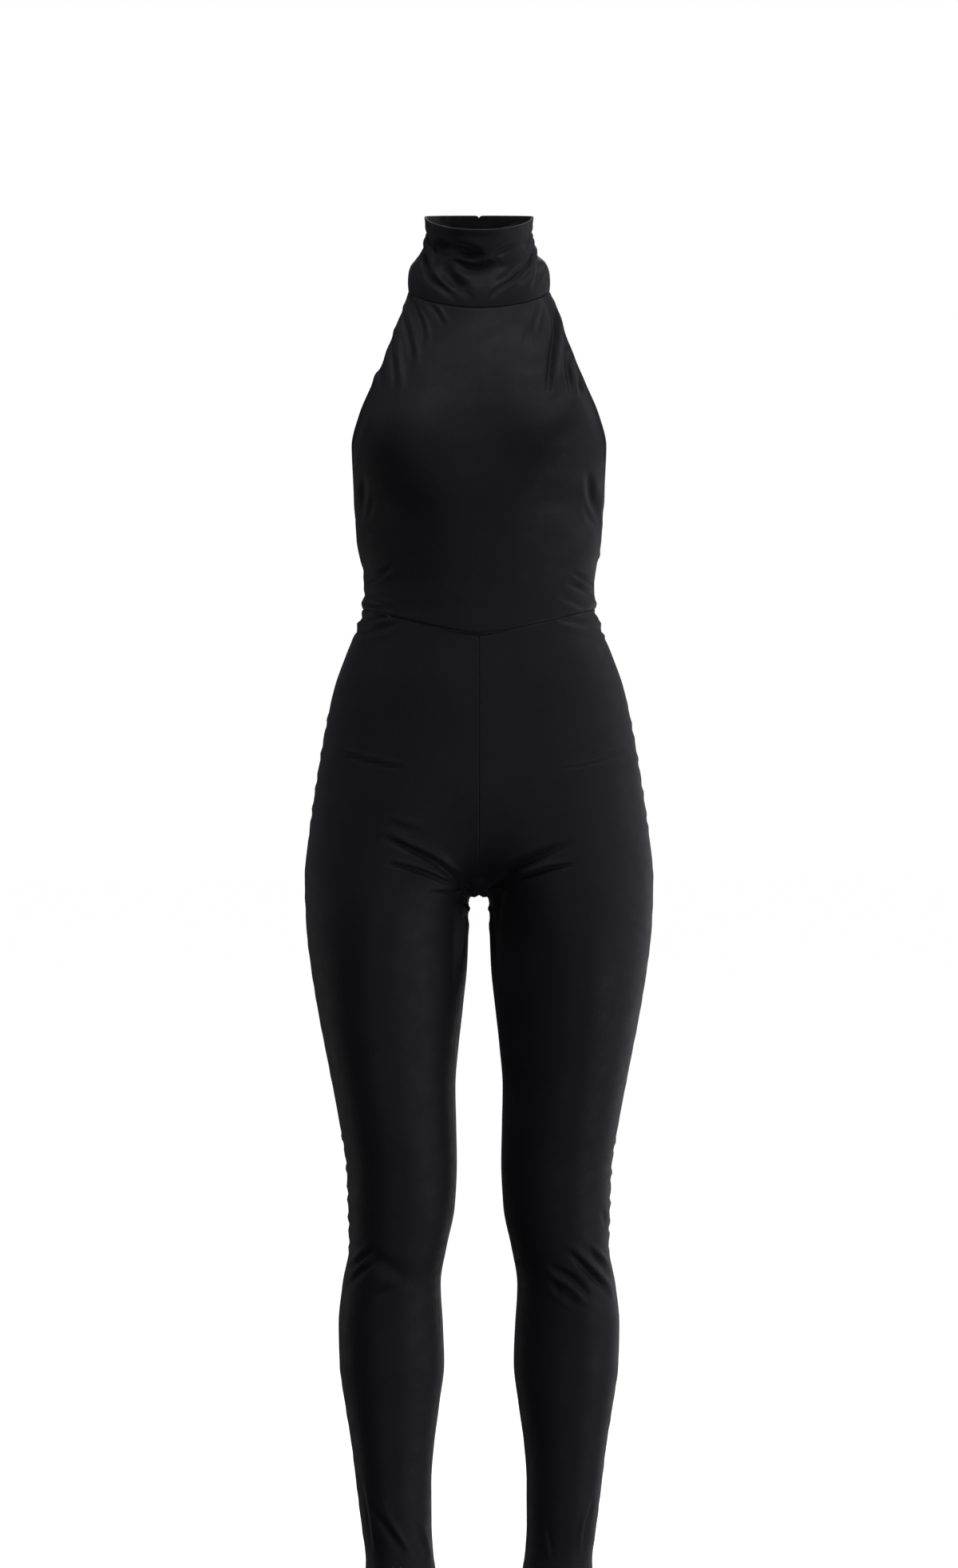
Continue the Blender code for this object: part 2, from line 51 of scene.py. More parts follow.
# ---------------------------------------------------------------- sizes, as in the CAD

CLOTH = 1.5 * MM
COLLAR_CLOTH = 2.6 * MM

CROTCH = -0.6430
CROTCH_DROP = 7 * MM          # height of the arch that parts the legs
ARCH_POWER = 3.2              # and its squareness
FLAT_CROTCH = 0.6 * MM        # no row of points lies between the crotch and this far above it
FRONT_RISE_CURVE = 0.190      # over this height above the crotch the legs' ovals become one
BACK_RISE_CURVE = 0.260
RISE_POWER = 1.5
MERGE_ROUNDING = 16 * MM
INSEAM_REACH = 0.24           # share of a leg's half turn that bends towards the inner seam
LEG_SKEW = 0.05               # turns the front of each leg a little towards the other
LEG_SKEW_TOP = 0.03           # from this far above the crotch
LEG_SKEW_OVER = 0.10          # and in full this much lower
INSEAM_SHIFT = 0.12           # the inner seam lies this far round to the front, below the crotch
INSEAM_SHIFT_START = 0.03     # from this far under it
INSEAM_SHIFT_OVER = 0.07      # and in full this much lower
FRONT_ROUNDING = 27 * MM      # the cloth rounds over the valley between the legs above the crotch
BACK_ROUNDING = 17 * MM
ROUNDING_HEIGHT = 0.040       # over this height it grows to the full amount
ROUNDING_REACH = 0.045        # and it dies out this far from the middle
TURN_POWER = 6.0              # these bend a panel's turn to the middle, where the ovals meet
TURN_OFFSET = 1.5

WAIST_SIDE = -0.3390
WAIST_FRONT = -0.3680
WAIST_BACK = -0.3440
WAIST_POWER = 1.3

HEM_SIDE = -1.3620
FRONT_HEM_SLOPE = 0.23         # the hem rises in front, over the instep
BACK_HEM_SLOPE = 0.03
HEM_SLOPE_POWER = 6

BACK_EDGE_SIDE = -0.2440
BACK_EDGE_CENTRE = -0.2900
BACK_EDGE_POWER = 1.6

COLLAR_BASE_FRONT = -0.0241
COLLAR_BASE_SIDE = 0.0
COLLAR_BASE_BACK = 0.0220
COLLAR_TOP_FRONT = 0.0572
COLLAR_TOP_SIDE = 0.0789
COLLAR_TOP_BACK = 0.0868
COLLAR_BASE_POWER = 1.3
FRONT_SEAM_REACH = 100.0      # degrees round the collar that each bodice front is sewn to

BUTTON_RADIUS = 4.8 * MM
BUTTON_DOME = 3.2 * MM
SHANK_RADIUS = 1.5 * MM
BUTTON_FROM_EDGE = 7.0 * MM
LOOP_CORD = 1.0 * MM
LOOP_TAIL = 2.6 * MM
PROUD = 0.35 * MM
CLOSURES = (("upper", 0.78), ("lower", 0.30))

# The outline up to the armholes: half its width, and y at the side seams, in front and behind.
Section = namedtuple("Section", "height half_width side_depth front_depth back_depth")
SECTIONS = (
    Section(-0.2420, 0.1312, 0.002, -0.101, 0.082),
    Section(-0.2680, 0.1294, 0.002, -0.097, 0.079),
    Section(-0.2930, 0.1245, 0.001, -0.094, 0.077),
    Section(-0.3145, 0.1219, 0.000, -0.092, 0.077),
    Section(-0.3360, 0.1237, 0.000, -0.092, 0.079),
    Section(-0.3610, 0.1305, 0.000, -0.094, 0.083),
    Section(-0.3870, 0.1408, 0.001, -0.097, 0.089),
    Section(-0.4210, 0.1530, 0.003, -0.101, 0.097),
    Section(-0.4630, 0.1625, 0.005, -0.103, 0.106),
    Section(-0.5230, 0.1728, 0.007, -0.103, 0.117),
    Section(-0.5740, 0.1801, 0.008, -0.101, 0.119),
    Section(-0.6250, 0.1851, 0.007, -0.098, 0.111),
    Section(-0.6760, 0.1832, 0.003, -0.096, 0.097),
    Section(-0.7180, 0.1782, 0.000, -0.094, 0.087),
    Section(-0.7610, 0.1711, -0.003, -0.091, 0.079),
    Section(-0.8240, 0.1588, -0.005, -0.086, 0.070),
    Section(-0.8880, 0.1469, -0.006, -0.080, 0.062),
    Section(-0.9310, 0.1404, -0.006, -0.073, 0.056),
    Section(-0.9730, 0.1387, -0.005, -0.067, 0.053),
    Section(-1.0160, 0.1377, -0.002, -0.060, 0.055),
    Section(-1.0580, 0.1449, 0.005, -0.053, 0.062),
    Section(-1.1010, 0.1492, 0.010, -0.048, 0.068),
    Section(-1.1430, 0.1482, 0.012, -0.045, 0.067),
    Section(-1.1860, 0.1423, 0.011, -0.042, 0.061),
    Section(-1.2280, 0.1355, 0.009, -0.040, 0.055),
    Section(-1.2710, 0.1301, 0.007, -0.038, 0.050),
    Section(-1.3130, 0.1248, 0.006, -0.037, 0.047),
    Section(-1.3560, 0.1189, 0.005, -0.036, 0.046),
    Section(-1.3900, 0.1160, 0.005, -0.036, 0.046),
)

# Half the gap between the legs.
LegGap = namedtuple("LegGap", "height half_gap")
LEG_GAPS = (
    LegGap(-0.6430, 0.0110),
    LegGap(-0.6590, 0.0113),
    LegGap(-0.6850, 0.0120),
    LegGap(-0.7180, 0.0134),
    LegGap(-0.7610, 0.0178),
    LegGap(-0.8030, 0.0225),
    LegGap(-0.8460, 0.0256),
    LegGap(-0.8880, 0.0248),
    LegGap(-0.9310, 0.0243),
    LegGap(-0.9730, 0.0264),
    LegGap(-1.0160, 0.0347),
    LegGap(-1.0580, 0.0413),
    LegGap(-1.1010, 0.0391),
    LegGap(-1.1430, 0.0378),
    LegGap(-1.1860, 0.0427),
    LegGap(-1.2280, 0.0485),
    LegGap(-1.2710, 0.0513),
    LegGap(-1.3130, 0.0513),
    LegGap(-1.3560, 0.0490),
    LegGap(-1.3900, 0.0485),
)

# The bodice's front beside the armholes: its edge, its middle and the degrees it wraps round.
Chest = namedtuple("Chest", "height edge_width edge_depth middle_depth wrap")
CHEST = (
    Chest(0.0040, 0.0749, 0.004, -0.060, 86.0),
    Chest(-0.0050, 0.0773, -0.010, -0.062, 80.0),
    Chest(-0.0344, 0.0857, -0.040, -0.071, 66.0),
    Chest(-0.0701, 0.0974, -0.060, -0.086, 56.0),
    Chest(-0.1045, 0.1114, -0.069, -0.098, 54.0),
    Chest(-0.1379, 0.1255, -0.068, -0.106, 60.0),
    Chest(-0.1702, 0.1336, -0.052, -0.109, 70.0),
    Chest(-0.2018, 0.1328, -0.025, -0.108, 80.0),
    Chest(-0.2420, 0.1312, 0.002, -0.101, 90.0),
)
NECK_BLEND = 0.065            # over this below its seam the chest takes on the collar's outline
BODICE_LENGTH = 0.36          # nominal lengths, for the spacing of the rows of points
BODICE_BACK_LENGTH = 0.10
TUCK = 3.0 * MM               # the bodice's top is turned up this far inside the collar
TUCK_SLANT = 0.9

BUST_X = 0.078
BUST_HEIGHT = -0.166
BUST_RISE = 0.018
BUST_SPREAD_X = 0.046
BUST_SPREAD_UP = 0.066
BUST_SPREAD_DOWN = 0.052

# The collar's outline at shares of its height: its reach to the front and back from its centre.
Ring = namedtuple("Ring", "share half_width front back centre")
COLLAR_RINGS = (
    Ring(0.00, 0.0745, 0.0662, 0.0565, 0.000),
    Ring(0.12, 0.0751, 0.0644, 0.0565, -0.001),
    Ring(0.24, 0.0744, 0.0616, 0.0560, -0.002),
    Ring(0.33, 0.0723, 0.0580, 0.0552, -0.003),
    Ring(0.42, 0.0668, 0.0545, 0.0545, -0.004),
    Ring(0.52, 0.0613, 0.0519, 0.0538, -0.005),
    Ring(0.66, 0.0584, 0.0519, 0.0533, -0.006),
    Ring(0.73, 0.0560, 0.0532, 0.0532, -0.006),
    Ring(0.86, 0.0563, 0.0559, 0.0532, -0.007),
    Ring(1.00, 0.0575, 0.0590, 0.0530, -0.008),
)

# ---------------------------------------------------------------- creases

# A crease is a trough along a line of two to four places, with a ridge beside it.  Places are
# (x, z) in millimetres on the upright plane through the origin, as seen from the front or
# from behind.  width is the trough's half width, depth its depth, above and below the heights
# of the cloth pushed up along it, above the line or below it; on an upright line that runs
# downwards, above is the side towards +x.
Crease = namedtuple("Crease", "line width depth above below", defaults=(0.0,))
FRONT_TROUSER_CREASES = (
    # hips
    Crease(((-150, -492), (-113, -501), (-80, -508)), 1.8, 2.0, 1.8),
    Crease(((152, -492), (118, -501), (84, -507)), 1.9, 2.8, 1.6),
    Crease(((124, -491), (109, -494)), 2.4, 0.9, 0.3),
    # from the crotch out over the wearer's right thigh
    Crease(((-97, -566), (-61, -576)), 3.4, 1.2, 1.3),
    Crease(((-98, -583), (-74, -594), (-48, -607), (-30, -622), (-17, -638)), 3.1, 5.2, 3.0),
    Crease(((-95, -609), (-61, -618), (-27, -633)), 2.0, 4.9, 3.0),
    Crease(((-51, -640), (-23, -642)), 2.0, 1.3, 0.8),
    Crease(((-38, -610), (-26, -624), (-14, -646)), 6.0, 2.6, 0.0),
    Crease(((-17, -640), (-18, -668), (-20, -700), (-25, -740)), 5.0, 1.5, 0.0),
    # and over the left
    Crease(((94, -589), (56, -606), (34, -618), (20, -637)), 4.8, 5.6, 1.4),
    Crease(((98, -611), (70, -616), (38, -629)), 2.1, 5.2, 3.0),
    Crease(((48, -622), (30, -630), (15, -648)), 6.0, 2.6, 0.0),
    # outer knee of the right leg
    Crease(((-137, -1043), (-125, -1031), (-115, -1021)), 2.8, 3.0, 2.4),
    Crease(((-136, -1055), (-123, -1042), (-107, -1030)), 3.2, 2.8, 2.2),
    Crease(((-121, -1018), (-100, -1036), (-76, -1050)), 8.0, 2.6, 0.0, 0.6),
    Crease(((-112, -1071), (-85, -1059)), 5.0, 1.2, 0.4),
    # outer knee of the left leg
    Crease(((80, -1041), (91, -1047), (104, -1056), (116, -1069)), 3.2, 5.4, 0.0, 3.0),
    Crease(((97, -1024), (112, -1039), (135, -1064)), 3.0, 4.4, 3.4),
    Crease(((117, -1020), (134, -1040)), 2.5, 3.0, 2.4),
    Crease(((91, -1070), (105, -1079)), 2.4, 2.0, 0.0, 0.9),
    Crease(((79, -1057), (88, -1067)), 3.0, 2.0, 0.0, 0.8),
    Crease(((131, -979), (134, -993)), 2.2, 1.0, 0.6),
    # ankles
    Crease(((-115, -1293), (-99, -1317), (-83, -1341)), 3.2, 2.2, 1.6),
    Crease(((-107, -1290), (-94, -1316), (-77, -1346)), 2.2, 0.9, 1.0),
    Crease(((-66, -1313), (-56, -1350)), 2.4, 1.4, 1.3),
    Crease(((-125, -1268), (-119, -1300), (-114, -1338)), 2.0, 1.3, 0.9),
    Crease(((121, -1288), (114, -1312), (110, -1340)), 2.2, 1.6, 1.3),
    Crease(((73, -1318), (79, -1346)), 2.2, 0.9, 0.0, 0.8),
    # just under the waist seam
    Crease(((-90, -345), (-106, -347), (-124, -351)), 2.6, 2.8, 0.0, 1.9),
    Crease(((-92, -357), (-113, -362), (-131, -366)), 2.6, 2.8, 0.0, 1.6),
    Crease(((88, -351), (110, -354), (129, -360)), 2.4, 2.2, 0.0, 1.7),
    Crease(((101, -343), (122, -345)), 2.0, 1.3, 0.0, 0.9),
)
FRONT_BODICE_CREASES = (
    # from the collar seam down the chest, on the wearer's right
    Crease(((-71, -3), (-68, -14), (-64, -25), (-60, -38), (-58, -50)), 2.4, 2.1, 2.1),
    Crease(((-81, -22), (-78, -34), (-75, -45), (-73, -57), (-71, -72)), 2.9, 3.4, 3.2),
    Crease(((-92, -48), (-92, -66), (-91, -76), (-90, -83), (-89, -104)), 3.3, 3.8, 4.0),
    Crease(((-101, -68), (-105, -81), (-105, -88), (-104, -102)), 2.8, 2.4, 1.8),
    Crease(((-52, -14), (-45, -22), (-42, -28), (-37, -35)), 2.3, 1.8, 1.5),
    Crease(((-64, -13), (-59, -21), (-55, -28)), 2.1, 1.4, 1.1),
    # and on the left
    Crease(((61, -14), (56, -28), (48, -50)), 2.2, 1.1, 1.1),
    Crease(((69, -15), (65, -33), (60, -52)), 2.4, 1.5, 1.4),
    Crease(((67, -5), (74, -16), (79, -30), (80, -46), (78, -60), (75, -88), (73, -106)), 3.0, 4.4, 4.0),
    Crease(((92, -64), (93, -78), (95, -96), (96, -112)), 2.7, 2.9, 3.0),
    Crease(((104, -94), (107, -110)), 2.1, 1.2, 1.5),
    # beside the bust, up from the side seams
    Crease(((-116, -199), (-121, -216), (-125, -230), (-129, -245)), 3.2, 3.2, 0.8, 0.5),
    Crease(((-110, -221), (-115, -231), (-121, -245), (-127, -255)), 2.6, 1.3, 0.6, 0.3),
    Crease(((-117, -262), (-127, -272)), 2.4, 0.9, 0.6),
    Crease(((116, -196), (120, -211), (125, -227), (130, -241)), 3.6, 3.8, 0.9, 0.6),
    Crease(((115, -228), (121, -242), (127, -253), (130, -259)), 2.6, 1.4, 0.8, 0.3),
    # above the waist seam
    Crease(((-92, -294), (-101, -300), (-110, -305), (-121, -310)), 2.6, 2.8, 0.8, 1.4),
    Crease(((-92, -338), (-106, -335), (-121, -331)), 2.4, 2.2, 1.6),
    Crease(((98, -299), (108, -305), (121, -310)), 2.0, 2.5, 1.0, 1.9),
    Crease(((95, -312), (106, -316), (120, -323)), 2.3, 2.6, 1.0, 1.7),
    Crease(((86, -325), (98, -330), (112, -336)), 2.6, 1.9, 0.9, 1.2),
)
BACK_TROUSER_CREASES = (
    Crease(((22, -640), (50, -628), (92, -618)), 2.8, 1.9, 1.6),
    Crease(((24, -652), (58, -646), (98, -645)), 2.6, 1.4, 1.2),
    Crease(((-22, -640), (-46, -630), (-88, -622)), 3.0, 2.2, 1.8),
    Crease(((-24, -655), (-60, -648), (-101, -650)), 2.4, 1.2, 1.0),
    Crease(((118, -500), (150, -488)), 2.4, 0.9, 0.5),
    Crease(((-115, -508), (-148, -494)), 2.2, 1.0, 0.6),
    Crease(((60, -1018), (92, -1027), (126, -1021)), 4.2, 2.4, 1.6),
    Crease(((58, -1004), (86, -1009), (112, -1004)), 3.2, 1.4, 1.0),
    Crease(((64, -1036), (98, -1045), (132, -1040)), 3.6, 1.9, 1.2),
    Crease(((-58, -1016), (-90, -1024), (-128, -1014)), 4.0, 2.2, 1.6),
    Crease(((-62, -1034), (-94, -1046), (-130, -1035)), 3.8, 2.0, 1.3),
    Crease(((-66, -1002), (-98, -1006)), 3.0, 1.2, 0.8),
    Crease(((62, -1300), (88, -1308), (112, -1302)), 3.4, 1.2, 0.9),
    Crease(((-60, -1312), (-84, -1322), (-110, -1314)), 3.2, 1.2, 0.9),
    Crease(((98, -352), (125, -357)), 2.4, 1.3, 0.0, 0.8),
    Crease(((-96, -353), (-126, -361)), 2.4, 1.4, 0.0, 0.9),
)
BACK_BODICE_CREASES = (
    Crease(((92, -300), (120, -309)), 2.6, 1.4, 0.0, 0.9),
    Crease(((90, -316), (119, -322)), 2.4, 1.2, 0.0, 0.8),
    Crease(((-90, -303), (-120, -313)), 2.6, 1.4, 0.0, 0.9),
    Crease(((-96, -322), (-119, -327)), 2.4, 1.0, 0.0, 0.7),
)

# Folds of the collar: places are (degrees from centre front, + to the wearer's left, share of
# the height).
COLLAR_CREASES = (
    # from the sides down to the front, on the wearer's right
    Crease(
        ((-100, 0.64), (-84, 0.59), (-73, 0.52), (-61, 0.45), (-47, 0.34), (-35, 0.25), (-22, 0.13)),
        3.1, 7.0, 1.6, 0.9,
    ),
    Crease(((-36, 0.50), (-24, 0.37), (-12, 0.23)), 4.8, 9.0, 1.6, 0.3),
    Crease(((-73, 0.39), (-56, 0.30)), 2.0, 2.2, 0.6),
    Crease(((-104, 0.84), (-86, 0.80), (-72, 0.74), (-60, 0.64), (-48, 0.52)), 2.4, 3.4, 0.6, 0.9),
    # cowl troughs in front
    Crease(((-31, 0.58), (-6, 0.52), (18, 0.57)), 3.9, 7.8, 1.8, 0.2),
    Crease(((-26, 0.74), (-10, 0.71), (5, 0.64)), 5.2, 9.2, 0.8, 0.0),
    Crease(((-60, 0.60), (-44, 0.72), (-22, 0.72)), 8.0, 10.0, 0.0),
    Crease(((-44, 0.93), (-10, 0.925), (28, 0.91)), 3.0, 1.5, 0.0),
    # on the left
    Crease(
        ((106, 0.68), (84, 0.62), (72, 0.57), (57, 0.49), (37, 0.39), (17, 0.24), (10, 0.14)),
        2.0, 4.0, 1.2, 1.0,
    ),
    Crease(((104, 0.50), (86, 0.47), (78, 0.43), (62, 0.34), (50, 0.20)), 2.8, 5.2, 1.0, 1.6),
    Crease(((118, 0.86), (84, 0.79), (70, 0.75), (56, 0.70)), 2.2, 2.3, 0.4, 1.4),
    Crease(((39, 0.78), (15, 0.66), (8, 0.57)), 2.6, 2.0, 0.7),
    Crease(((32, 0.46), (16, 0.32)), 2.4, 2.0, 0.7),
    Crease(((50, 0.39), (34, 0.26)), 2.2, 2.0, 0.7),
    # similar ones behind
    Crease(((122, 0.64), (142, 0.46), (162, 0.40)), 3.4, 2.6, 1.2),
    Crease(((110, 0.36), (132, 0.19)), 3.0, 1.9, 0.9),
    Crease(((128, 0.86), (148, 0.76), (164, 0.70)), 3.0, 1.5, 0.7),
    Crease(((-124, 0.58), (-142, 0.43), (-162, 0.36)), 3.4, 2.6, 1.2),
    Crease(((-108, 0.34), (-130, 0.18)), 3.0, 1.9, 0.9),
    Crease(((-132, 0.82), (-154, 0.71)), 3.0, 1.4, 0.7),
)
COLLAR_STEEP = 1.05           # the folds fall steeply from above
COLLAR_GENTLE = 1.7           # and run out gently below
COLLAR_FADE = 0.10            # share of the height over which they die out, low and high
COLLAR_RADIUS = 65.0          # millimetres round for each radian on the collar's flat map
COLLAR_TALL = 82.0            # and up for the whole height

CREASE_REACH = 5              # how far from its line a crease is worked out, in half widths
CREASE_END = 0.04             # a crease tapers as a half wave, cut off this far in at each end,
CREASE_TAPER = 0.7            # to this power
BANK_AWAY = 1.9               # how far the pushed-up cloth lies from the trough, in half widths
BANK_SPREAD = 1.15
FACING_GAIN = 2.5             # creases and swells show where the cloth faces front or back,
FACING_START = 0.35           # and die out where it turns to the side
TO_FRONT = -1                 # signs of y
TO_BACK = 1

# Soft swells of the cloth, as seen from the front: hollows are below zero.
# spread_below, where it isn't 0, is the spread downwards from the middle.
Swell = namedtuple("Swell", "x z spread_x spread_z height spread_below", defaults=(0.0,))
BODICE_SWELLS = (
    Swell(-100, -148, 34, 36, 4.2),
    Swell(-110, -192, 32, 44, 7.5, 30),
    Swell(-108, -240, 26, 24, -2.6),
    Swell(-35, -232, 42, 60, 6.0, 110),
    Swell(104, -126, 24, 32, 4.0),
    Swell(80, -152, 32, 22, 1.8),
    Swell(104, -234, 30, 24, -6.5),
    Swell(22, -230, 40, 50, 3.0, 100),
    Swell(96, -262, 26, 28, 1.0),
)
TROUSER_SWELLS = (
    # above the crotch
    Swell(0, -642, 26, 24, -6.5),
    Swell(12, -650, 42, 62, -7.0),
    Swell(4, -500, 36, 60, 3.0),
    # the thighs
    Swell(-104, -655, 36, 48, 6.0, 90),
    Swell(-128, -720, 34, 120, 3.5),
    Swell(114, -735, 42, 110, 7.0),
)

SWELL_EDGE_FADE = 0.024       # a bodice's swells die out this near its side edge,
SWELL_SEAM_FADE = 0.016       # the trousers' this near the inner seam under the crotch,
SWELL_HIP_FADE = 0.016        # and they come back over this height above it

# Puckers: small waves in the cloth along a seam.  The pitch and height are in millimetres.
Pucker = namedtuple("Pucker", "top bottom pitch height")
SIDE_PUCKERS = (
    Pucker(-0.430, -0.590, 19.0, 0.50),
    Pucker(-0.600, -0.860, 27.0, 0.20),
    Pucker(-0.880, -1.030, 17.0, 0.75),
    Pucker(-1.120, -1.350, 25.0, 0.14),
)
INNER_PUCKERS = (
    Pucker(-0.700, -0.960, 23.0, 0.15),
    Pucker(-0.985, -1.080, 16.0, 0.55),
    Pucker(-1.120, -1.350, 24.0, 0.12),
)
PUCKER_FADE = 0.020           # a run of puckers starts and ends over this
PUCKER_REACH = 0.011          # and dies out this far from the seam
PUCKER_RIPPLE = 0.5           # a second, finer wave: its height, pitch and phase, as shares
PUCKER_RIPPLE_PITCH = 0.63
PUCKER_RIPPLE_PHASE = 2.1
LEFT_PHASE = 2.3
RIGHT_PHASE = 0.9
INNER_PHASE = 1.7             # the inner seam's puckers are this far on

# Slow uneven waves of the cloth: height in millimetres, size in metres, and a place in the noise.
Waves = namedtuple("Waves", "height size seed")
TROUSER_WAVES = Waves(0.45, 0.045, 3.7)
BODICE_FRONT_WAVES = Waves(0.30, 0.040, 8.1)
BODICE_BACK_WAVES = Waves(0.30, 0.040, 5.3)
QUIET_REACH = 0.020           # they die out this near the edges

# Rolls of cloth round the side at the waist: height in millimetres, on the wearer's left or
# right; a trough has a rise below zero.
Roll = namedtuple("Roll", "height width rise")
ROLL_REACH = 0.032
LEFT_ROLLS = (
    Roll(-281, 4.0, 1.4),
    Roll(-332.5, 3.2, 1.5),
    Roll(-342, 3.4, -2.2),
    Roll(-354, 2.6, 1.4),
    Roll(-361, 2.4, -2.0),
    Roll(-367, 2.4, 0.8),
    Roll(-371.5, 2.0, -0.7),
)
RIGHT_ROLLS = (
    Roll(-297, 5.5, -1.4),
    Roll(-323.5, 3.2, -1.5),
    Roll(-332, 3.2, 1.5),
    Roll(-340, 2.2, -0.7),
    Roll(-347.5, 3.4, -2.4),
    Roll(-355, 2.4, 1.2),
    Roll(-361, 2.4, -2.2),
)

# Scallops of gathered cloth from the middle of the crotch's arch out and down the inner seams:
# how far along, and how far the cloth stands out there, in millimetres.
Scallop = namedtuple("Scallop", "along rise")
ARCH_SCALLOPS = (
    Scallop(0.0, -1.6),
    Scallop(5.6, 1.5),
    Scallop(15.5, -1.5),
    Scallop(20.5, 1.3),
    Scallop(27.5, -1.3),
    Scallop(38.0, 0.6),
    Scallop(50.0, 0.0),
)
ARCH_LENGTH = 13.5            # millimetres along half of the arch, middle to inner seam
ARCH_ACROSS = 11.0            # and straight across
ARCH_REACH = 0.030            # how far round the leg the scallops go under the arch
SEAM_REACH = 0.013            # and lower down, at the inner seams
ARCH_ABOVE = 0.005            # they die out over this height above the crotch

# Soft upright folds inside the back of the collar, in millimetres round from the middle of the
# front.
Band = namedtuple("Band", "place width height")
INNER_BANDS = (
    Band(-176, 5.0, 1.6),
    Band(-194, 3.6, 0.9),
    Band(193, 3.0, 1.1),
    Band(181, 6.0, 0.8),
    Band(-158, 6.0, 1.0),
)

# ---------------------------------------------------------------- the cloth's wall and edges

STAND = 0.7 * MM              # the cloth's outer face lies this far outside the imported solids
MIDDLE_OVERLAP = 0.12 * MM    # the two halves pass each other by this, inside the seam
MIDDLE_REACH = 4.0 * MM

# Radii of the rounded edges, in the order of edge_distances.
FIRST_COLUMN = 0
LAST_COLUMN = 1
FIRST_ROW = 2
LAST_ROW = 3
TROUSER_RADII = (0.6 * MM, 0.6 * MM, 0.6 * MM, 0.3 * MM)
BODICE_FRONT_RADII = (0.2 * MM, 0.6 * MM, 0.7 * MM, 0.6 * MM)
BODICE_BACK_RADII = (0.6 * MM, 0.6 * MM, 0.6 * MM, 0.6 * MM)
COLLAR_RADII = (0.9 * MM, 0.9 * MM, 0.6 * MM, 1.29 * MM)
FULL_ROUND = 0.98             # share of a radius past which the edge stays as it is

# Edges are turned in once, to this depth and this much thicker, with a step over TURN_STEP.
HEM_DEPTH = 10 * MM
HEM_PROUD = 0.7 * MM
EDGE_DEPTH = 6 * MM
EDGE_PROUD = 0.6 * MM
TURN_STEP = 1.2 * MM
ARMHOLE_START = 4 * MM        # the armhole's edge turns in over this height, above the side seam
BELOW_ARMHOLE = 0.020         # and the rolls at the waist grow over this, below it

# A stitched edge: how far in its stitches lie, and how its face dips under them and swells
# beyond.  The dip and the swell are in millimetres.
StitchedEdge = namedtuple("StitchedEdge", "inset dip dip_reach swell swell_reach")
HEM = StitchedEdge(7.5 * MM, 0.22, 0.9 * MM, 0.18, 1.5 * MM)
OPEN_EDGE = StitchedEdge(4.0 * MM, 0.16, 0.8 * MM, 0.16, 1.4 * MM)
HEM_FLARE = 2.0               # millimetres the leg spreads at its end
HEM_FLARE_REACH = 24 * MM

# Seams: how far the cloth sinks into them, in millimetres, and from how far away.
Seam = namedtuple("Seam", "dip reach")
ABOVE_WAIST_SEAM = Seam(1.3, 1.6 * MM)
BELOW_WAIST_SEAM = Seam(0.35, 0.5 * MM)
COLLAR_SEAM = Seam(2.0, 1.3 * MM)
CENTRE_SEAM = Seam(0.7, 0.8 * MM)
CENTRE_RIDGE = 0.9            # the low ridge that the centre seam runs along, in millimetres
CENTRE_RIDGE_REACH = 13 * MM
CENTRE_START = 0.012          # the ridge starts this far above the crotch
CENTRE_OVER = 0.050           # and grows over this height
CENTRE_LOW_DIP = 0.35         # share of the seam's dip near the crotch
CENTRE_DIP_START = 0.030      # from here up it grows to the full dip
CENTRE_DIP_OVER = 0.120
CENTRE_TOP_FADE = 6 * MM      # the ridge dies out this near the waist seam

SLIT_GAP = -0.16 * MM         # the slit's edges lie against each other
SLIT_RING = COLLAR_RINGS[4]   # the gap is measured at this height
NOTCH_WIDTH = 1.2 * MM
NOTCH_DEPTH = 2.6 * MM
NOTCH_REACH = 0.12            # share of the height that follows the notch
FACING_EDGE = 3.6 * MM        # the slit's turned-in edges end this far from it
FACING_SPREAD = 1.0 * MM
FACING_PROUD = 0.5 * MM

# ---------------------------------------------------------------- fineness of the grids

EDGE_STEPS = np.array([0.0, 0.10, 0.30, 0.60, 1.0, 1.6, 2.6, 4.2, 6.2, 8.4, 11.0]) * MM
DENSE = 260                   # places along a row when its length is measured
LEG_STEP = 3.6 * MM           # between the rows of points of a leg
THIGH_STEP = 1.5 * MM         # and close under the crotch
THIGH_FINE = 0.055            # length of that stretch
ARCH_ROWS = (0.8, 0.62, 0.46, 0.32, 0.20, 0.11, 0.05, 0.015, 0.0)   # shares of CROTCH_DROP
HIP_ROWS = 96
HIP_ROW_POWER = 1.35          # how the rows crowd towards the crotch
TROUSER_COLUMNS = 98
EVEN_OVER = 0.016             # trouser columns are evened out over this height
BODICE_FRONT_ROWS = 150
BODICE_FRONT_COLUMNS = 84
TUCK_ROWS = (0.2, 0.45, 0.7, 1.0)     # shares of TUCK
BODICE_BACK_ROWS = 52
BODICE_BACK_COLUMNS = 74
COLLAR_ROWS = 88
COLLAR_COLUMNS = 300
CREASE_STEPS = 10             # pieces of a crease's line between two of its places

# ---------------------------------------------------------------- stitches, buttons and loops

STITCH_PITCH = 3.0 * MM
STITCH_LENGTH = 2.3 * MM
STITCH_RADIUS = 0.20 * MM
STITCH_SIDES = 6
STITCH_SHARES = (0.0, 0.18, 0.5, 0.82, 1.0)         # of the length, for each ring of points
STITCH_LIFTS = (-0.16, 0.04, 0.13, 0.04, -0.16)     # and its height over the cloth, in millimetres
STITCH_GIRTHS = (0.6, 1.0, 1.0, 1.0, 0.6)

BUTTON_SIDES = 64
DOME_RINGS = 16
GATHERS = 21                  # folds of the cover drawn in under the button
GATHER_DEPTH = 0.13 * MM
